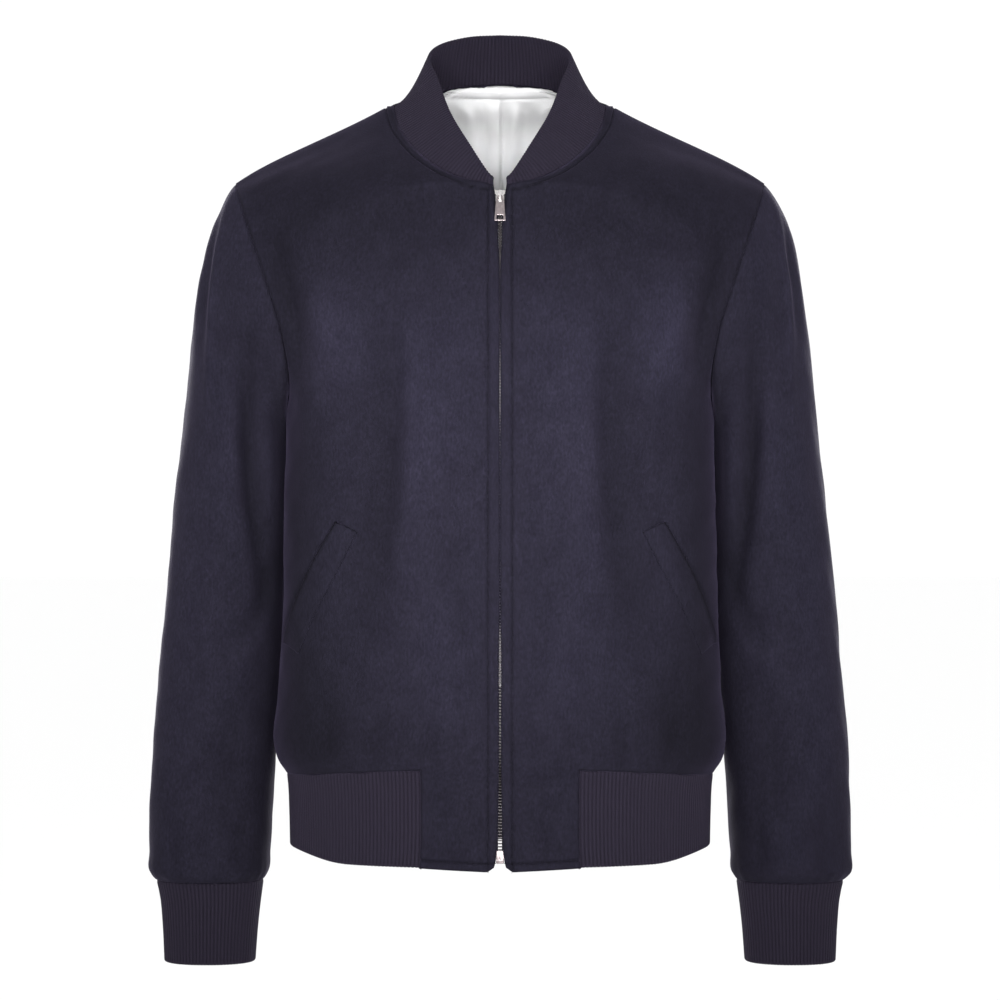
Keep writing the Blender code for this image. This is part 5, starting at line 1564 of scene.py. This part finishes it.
def repeat_tree():
    """Geometry Nodes group that sets a small thing again and again along a path."""
    tree = bpy.data.node_groups.new("repeat_along_path", "GeometryNodeTree")
    sockets = {}
    for label, kind in (("Path", "NodeSocketGeometry"), ("Thing", "NodeSocketObject"),
                        ("Pitch", "NodeSocketFloat"), ("Material", "NodeSocketMaterial")):
        sockets[label] = tree.interface.new_socket(label, in_out="INPUT", socket_type=kind)
    tree.interface.new_socket("Pieces", in_out="OUTPUT", socket_type="NodeSocketGeometry")
    given, made, curve, steps, tangent, turn, thing, place, real, paint = (
        tree.nodes.new(kind) for kind in (
            "NodeGroupInput", "NodeGroupOutput", "GeometryNodeMeshToCurve",
            "GeometryNodeResampleCurve", "GeometryNodeInputTangent",
            "FunctionNodeAlignRotationToVector", "GeometryNodeObjectInfo",
            "GeometryNodeInstanceOnPoints", "GeometryNodeRealizeInstances",
            "GeometryNodeSetMaterial"))
    steps.mode = "LENGTH"
    turn.axis, turn.pivot_axis = "Z", "AUTO"
    for giver, output, taker, entry in (
            (given, "Path", curve, "Mesh"), (curve, "Curve", steps, "Curve"),
            (given, "Pitch", steps, "Length"), (given, "Thing", thing, "Object"),
            (steps, "Curve", place, "Points"), (thing, "Geometry", place, "Instance"),
            (tangent, "Tangent", turn, "Vector"), (turn, "Rotation", place, "Rotation"),
            (place, "Instances", real, "Geometry"), (real, "Geometry", paint, "Geometry"),
            (given, "Material", paint, "Material"), (paint, "Geometry", made, "Pieces")):
        tree.links.new(giver.outputs[output], taker.inputs[entry])
    return tree, {label: socket.identifier for label, socket in sockets.items()}


REPEAT, REPEAT_INPUTS = repeat_tree()


def repeat_along(name, paths, thing, pitch, material):
    """One plain mesh of a thing repeated along paths."""
    points, edges = [], []
    for path in paths:
        start = len(points)
        points += [tuple(point) for point in path]
        edges += [(i, i + 1) for i in range(start, len(points) - 1)]
    mesh = bpy.data.meshes.new(name + "_path")
    mesh.from_pydata(points, edges, [])
    carrier = in_scene(name + "_path", mesh)
    modifier = carrier.modifiers.new("Repeat", "NODES")
    modifier.node_group = REPEAT
    modifier[REPEAT_INPUTS["Thing"]] = thing
    modifier[REPEAT_INPUTS["Pitch"]] = pitch
    modifier[REPEAT_INPUTS["Material"]] = material
    bpy.context.view_layer.update()
    made = carrier.evaluated_get(bpy.context.evaluated_depsgraph_get())
    plain = bpy.data.meshes.new_from_object(made)
    plain.name = name
    bpy.data.objects.remove(carrier)
    return in_scene(name, plain)


def make_thing(name, rings, smooth_faces):
    """Small closed mesh through rings of points, kept out of the scene."""
    rings = np.array(rings)
    count, size = rings.shape[:2]
    quads = net_quads(count, size, True)
    faces = [tuple(int(i) for i in quad) for quad in quads]
    faces += [tuple(range(size)), tuple(range((count - 1) * size, count * size))]
    mesh = bpy.data.meshes.new(name)
    mesh.from_pydata(rings.reshape(-1, 3).tolist(), [], faces)
    turn_faces_out(mesh)
    mesh.polygons.foreach_set("use_smooth", [smooth_faces] * len(mesh.polygons))
    return bpy.data.objects.new(name, mesh)


STITCH_SIDES = 5
STITCH_FORM = ((0.0, 0.35), (0.22, 0.95), (0.5, 1.1), (0.78, 0.95), (1.0, 0.35))
TOOTH_FORM = ((-0.0011, 0.62), (0.0, 1.0), (0.0014, 0.86), (0.0030, 1.0), (0.0034, 0.7))
TOOTH_LAYERS = ((-0.0012, 0.72), (-0.0008, 1.0), (0.0008, 1.0), (0.0012, 0.72))
TOOTH_MIDDLE = 0.0011  # of its width, from the middle of the zip


def make_stitch(radius, length):
    """One stitch lying along Z, thinner and lower at both ends."""
    angles = np.arange(STITCH_SIDES) / STITCH_SIDES * 2 * pi
    rings = []
    for share, wide in STITCH_FORM:
        rings.append(np.stack([radius * wide * np.cos(angles), radius * wide * np.sin(angles),
                               np.full(STITCH_SIDES, (share - 0.5) * length)], -1))
    return make_thing("stitch", rings, True)


def make_tooth(sign):
    """One zip tooth of one side: clamped on its tape's edge, with a rounded head."""
    outline = np.array(TOOTH_FORM)
    across = np.concatenate([outline[:, 0], outline[::-1, 0]]) * sign
    up = np.concatenate([outline[:, 1], -outline[::-1, 1]]) * TOOTH_HALF_HEIGHT
    middle = TOOTH_MIDDLE * sign
    rings = [np.stack([(across - middle) * shrink + middle, np.full(len(across), depth),
                       up * shrink], -1) for depth, shrink in TOOTH_LAYERS]
    return make_thing("tooth", rings, False)


# ---------------------------------------------------------------- zip

SLIDER_MIDDLE = Vector((0.0, -0.09829, -0.0895))
SLIDER_LEAN = radians(18.2)
SLIDER_FRAME = Matrix.Translation(SLIDER_MIDDLE) @ Matrix.Rotation(-SLIDER_LEAN, 4, "X")
BOX_HEIGHT = -0.6385  # where the front's depth places the retainer box
PIN_DEPTH = -0.0046
PIN_HEIGHT = -0.0002
PULL_LENGTH = 0.0232
PULL_TOP = 0.0005  # above its pin
PULL_THICK = 0.0012
SLIDER_BEVEL, PULL_BEVEL, BOX_BEVEL = 0.00035, 0.00028, 0.0003


def front_depth(distance, height):
    """Depth of the plain front beside its edge, at a distance from the middle and a height."""
    places = np.linspace(NECK_ROWS - 1.0, LAST_ROW, 160)
    net = panel_net(True, np.array([0.0, 0.07]), places)
    edge_y, beside_y = (np.interp(-height, -net[:, j, 2], net[:, j, 1]) for j in (0, 1))
    edge_x, beside_x = (np.interp(-height, -net[:, j, 2], -net[:, j, 0]) for j in (0, 1))
    share = np.clip((distance - edge_x) / (beside_x - edge_x), 0.0, 2.0)
    return edge_y + (beside_y - edge_y) * share


def make_chain():
    """Two rows of teeth that mesh in the middle."""
    joined = bmesh.new()
    for sign, hand in ((-1, "right"), (1, "left")):
        start = CHAIN_TOP - (TOOTH_PITCH / 2 if sign > 0 else 0.0) - TOOTH_HALF_HEIGHT
        height = np.linspace(start, CHAIN_BOTTOM + TOOTH_HALF_HEIGHT, 260)
        depth = front_depth(0.0 * height, height) + CHAIN_SETBACK + CHAIN_THICK / 2
        path = np.stack([0.0 * height, depth, height], -1)
        row = repeat_along("zip_teeth_" + hand, [path], make_tooth(sign), TOOTH_PITCH, SHADED_TOOTH_METAL)
        joined.from_mesh(row.data)
        bpy.data.objects.remove(row)
    mesh = bpy.data.meshes.new("zip_teeth")
    joined.to_mesh(mesh)
    joined.free()
    mesh.materials.append(SHADED_TOOTH_METAL)
    chain = in_scene("zip_teeth", mesh)
    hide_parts("zip_chain")
    return chain


def make_tape(name, sign):
    """Woven tape with a corded edge under the teeth, lying behind the front's edge."""
    height = np.linspace(CHAIN_TOP, CHAIN_BOTTOM, 180)
    rows = []
    for distance in TAPE_COLUMNS:
        depth = front_depth(distance + 0.0 * height, height) + WOOL_THICK + TAPE_GAP
        depth = depth - TAPE_CORD * np.exp(-((distance - TAPE_COLUMNS[1]) / 0.0010) ** 2)
        rows.append(np.stack([distance * sign + 0.0 * height, depth, height], -1))
    net = np.array(rows).transpose(1, 0, 2)
    forward = np.broadcast_to(np.array([0.0, -1.0, 0.0]), net.shape)
    piece = make_shell(name + "_weave", net, forward, TAPE_THICK, TAPE)
    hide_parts(name)
    return piece


SHARP_EDGE = radians(30.0)
FLAT_SHADED = radians(38.0)


def rounded_piece(name, body, material, bevel):
    """Piece from a closed body of flat faces, with its edges rounded."""
    bmesh.ops.recalc_face_normals(body, faces=body.faces)
    sharp = [edge for edge in body.edges if edge.calc_face_angle(0.0) > SHARP_EDGE]
    bmesh.ops.bevel(body, geom=sharp, offset=bevel, segments=2, affect="EDGES", profile=0.5,
                    clamp_overlap=True)
    mesh = bpy.data.meshes.new(name)
    body.to_mesh(mesh)
    body.free()
    mesh.polygons.foreach_set("use_smooth", [True] * len(mesh.polygons))
    mesh.materials.append(material)
    mesh.set_sharp_from_angle(angle=FLAT_SHADED)
    return in_scene(name, mesh)


def solid_from(name, parts, material, bevel):
    """One piece from flat closed parts. Each part is an outline in X and Z, and the depths of its
    front and back."""
    body = bmesh.new()
    for outline, front, back in parts:
        near = [body.verts.new((x, front, z)) for x, z in outline]
        far = [body.verts.new((x, back, z)) for x, z in outline]
        body.faces.new(near)
        body.faces.new(far[::-1])
        for i in range(len(outline)):
            j = (i + 1) % len(outline)
            body.faces.new((near[j], near[i], far[i], far[j]))
    return rounded_piece(name, body, material, bevel)


def mirrored(half):
    return half + [(-x, z) for x, z in reversed(half) if abs(x) > 1e-9]


def arc(middle_x, middle_z, radius, start, end, count):
    angles = np.radians(np.linspace(start, end, count))
    return [(middle_x + radius * float(np.cos(a)), middle_z + radius * float(np.sin(a)))
            for a in angles]


def make_slider():
    """Slider: two plates with rounded shoulders, a wedge between them and a bridge in front."""
    shoulder = arc(0.0030, 0.0040, 0.0021, 140, -50, 9)
    plate = mirrored([(0.0, 0.0050)] + shoulder + [(0.0031, 0.0010), (0.0033, -0.0052),
                                                   (0.0028, -0.0062), (0.0, -0.0062)])
    wedge = mirrored([(0.0, 0.0058), (0.0016, 0.0050), (0.0006, -0.0006), (0.0, -0.0010)])
    flange = [(0.0042, 0.0030), (0.0037, -0.0056), (0.0030, -0.0056), (0.0035, 0.0030)]
    other = [(-x, z) for x, z in reversed(flange)]
    foot = mirrored([(0.0011, 0.0048), (0.0011, 0.0026), (0.0, 0.0026)])
    heel = mirrored([(0.0011, -0.0012), (0.0011, -0.0034), (0.0, -0.0034)])
    bar = mirrored([(0.0011, 0.0048), (0.0011, -0.0034), (0.0, -0.0034)])
    parts = [(plate, -0.0031, -0.0019), (plate, 0.0019, 0.0031), (wedge, -0.0021, 0.0021),
             (flange, -0.0024, -0.0008), (other, -0.0024, -0.0008),
             (flange, 0.0008, 0.0024), (other, 0.0008, 0.0024),
             (foot, -0.0060, -0.0029), (heel, -0.0060, -0.0029), (bar, -0.0068, -0.0056)]
    slider = solid_from("slider_metal", parts, BRIGHT_METAL, SLIDER_BEVEL)
    slider.data.transform(SLIDER_FRAME)
    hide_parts("zip_slider")
    return slider


def make_pull():
    """Pull tab: a pin through the bridge, two arms and a plate with a slot near its foot."""
    top, foot = PULL_TOP, PULL_TOP - PULL_LENGTH
    levels = [top, top - 0.0010, top - 0.0040, top - 0.0064, foot + 0.0052, foot + 0.0016, foot]
    half_width = [0.0020, 0.0023, 0.0030, 0.0035, 0.0044, 0.0047, 0.0047]
    hole = [0.0013, 0.0013, 0.0014, 0.0015, 0.0028, 0.0029, 0.0029]
    body = bmesh.new()
    grid = []
    for z, wide, inner in zip(levels, half_width, hole):
        grid.append([body.verts.new((x, 0.0, z)) for x in (-wide, -inner, inner, wide)])
    for i in range(len(levels) - 1):
        for j in range(3):
            if j == 1 and i in (1, 2, 4):
                continue
            body.faces.new((grid[i][j], grid[i][j + 1], grid[i + 1][j + 1], grid[i + 1][j]))
    made = bmesh.ops.extrude_face_region(body, geom=list(body.faces))
    moved = [item for item in made["geom"] if isinstance(item, bmesh.types.BMVert)]
    bmesh.ops.translate(body, verts=moved, vec=(0.0, PULL_THICK, 0.0))
    bmesh.ops.translate(body, verts=list(body.verts), vec=(0.0, -PULL_THICK / 2, 0.0))
    pull = rounded_piece("pull_tab_metal", body, PULL_METAL, PULL_BEVEL)
    pull.data.transform(SLIDER_FRAME @ Matrix.Translation((0.0, PIN_DEPTH, PIN_HEIGHT)))
    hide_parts("pull_tab")
    return pull


def make_zip_box():
    """Retainer box at the foot of the zip, with a narrow strip and a band standing out on its
    front.
    """
    middle_y = float(front_depth(0.0, np.array([BOX_HEIGHT]))[0]) + CHAIN_SETBACK + CHAIN_THICK / 2
    case = mirrored([(0.0, -0.6334), (0.0030, -0.6334), (0.0034, -0.6342), (0.0034, -0.6430),
                     (0.0028, -0.6438), (0.0, -0.6438)])
    groove = mirrored([(0.00045, -0.6340), (0.00045, -0.6400), (0.0, -0.6400)])
    rim = mirrored([(0.0034, -0.6404), (0.0034, -0.6414), (0.0, -0.6414)])
    parts = [(case, middle_y - 0.0018, middle_y + 0.0018),
             (groove, middle_y - 0.0021, middle_y - 0.0015),
             (rim, middle_y - 0.0020, middle_y - 0.0014)]
    piece = solid_from("zip_box_metal", parts, PULL_METAL, BOX_BEVEL)
    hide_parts("zip_box")
    return piece


# ---------------------------------------------------------------- the jacket


def ride_all(pieces):
    for piece in pieces:
        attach(piece, "jacket")


right_front, right_lines = make_front("front_right", -1)
left_front, left_lines = make_front("front_left", 1)
back_wool = make_back()
sleeves = [make_sleeve("sleeve_right", -1), make_sleeve("sleeve_left", 1)]
collar = make_collar()
hem = make_hem()
cuffs = [make_cuff("cuff_right", -1), make_cuff("cuff_left", 1)]
lining = make_lining()
right_surface, left_surface = surface_of(right_front), surface_of(left_front)
welts = [make_welt("pocket_welt_right", -1, right_surface),
         make_welt("pocket_welt_left", 1, left_surface)]
chain = make_chain()
tapes = [make_tape("zip_tape_right", -1), make_tape("zip_tape_left", 1)]
slider = make_slider()
pull = make_pull()
zip_box = make_zip_box()
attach(pull, "pull")
wool_pieces = [right_front, left_front, back_wool] + sleeves + welts
knit_pieces = [collar, hem] + cuffs
ride_all(wool_pieces + knit_pieces + [lining, chain, slider, zip_box] + tapes)

stitch = make_stitch(THREAD_RADIUS, STITCH_LENGTH)
stitches = repeat_along("seam_stitches", right_lines + left_lines, stitch, STITCH_PITCH,
                        NAVY_THREAD)
ride_all([stitches])

# ---------------------------------------------------------------- stage, light and camera

FLOOR_SIZE = 60.0
FLOOR_HEIGHT = -1.15
STAGE_WHITE = shader_material("stage_white", 0.9, color=(0.95, 0.95, 0.95))
bpy.ops.mesh.primitive_plane_add(size=FLOOR_SIZE, location=(0.0, 0.0, FLOOR_HEIGHT))
floor = bpy.context.object
floor.name = "floor"
floor.data.materials.append(STAGE_WHITE)


def add_softbox(name, place, target, size, power, spread=180.0):
    light = bpy.data.lights.new(name, "AREA")
    light.shape = "RECTANGLE"
    light.size, light.size_y = size
    light.energy = power
    light.spread = radians(spread)
    lamp = in_scene(name, light)
    lamp.location = place
    lamp.rotation_euler = (Vector(target) - Vector(place)).to_track_quat("-Z", "Y").to_euler()


for side in (-1.0, 1.0):
    add_softbox("front", (0.42 * side, -1.90, -0.40), (0.0, -0.10, -0.27), (0.5, 0.5), 3.7,
                spread=48.0)
    add_softbox("side", (2.5 * side, -0.9, 0.1), (0.2 * side, 0.0, -0.38), (1.0, 1.8), 12.0)
    add_softbox("behind", (1.0 * side, 2.2, -0.1), (0.0, 0.10, -0.32), (0.9, 0.9), 9.0,
                spread=70.0)

add_softbox("middle", (0.0, -1.90, -0.32), (0.0, -0.10, -0.22), (0.3, 0.3), 2.4, spread=48.0)

world = bpy.data.worlds.new("studio")
world.use_nodes = True
background = world.node_tree.nodes["Background"]
background.inputs["Color"].default_value = (1.0, 1.0, 1.0, 1.0)
background.inputs["Strength"].default_value = 1.04
bpy.context.scene.world = world
bpy.context.scene.view_settings.view_transform = "Standard"

CAMERA_DISTANCE = 2.7
CAMERA_HEIGHT = -0.342
SEEN_WIDTH = 0.867
SENSOR_WIDTH = 36.0
camera_data = bpy.data.cameras.new("camera")
camera_data.sensor_width = SENSOR_WIDTH
camera_data.lens = SENSOR_WIDTH * CAMERA_DISTANCE / SEEN_WIDTH
camera = in_scene("camera", camera_data)
camera.location = (0.0, -CAMERA_DISTANCE, CAMERA_HEIGHT)
camera.rotation_euler = (radians(90.0), 0.0, 0.0)
bpy.context.scene.camera = camera
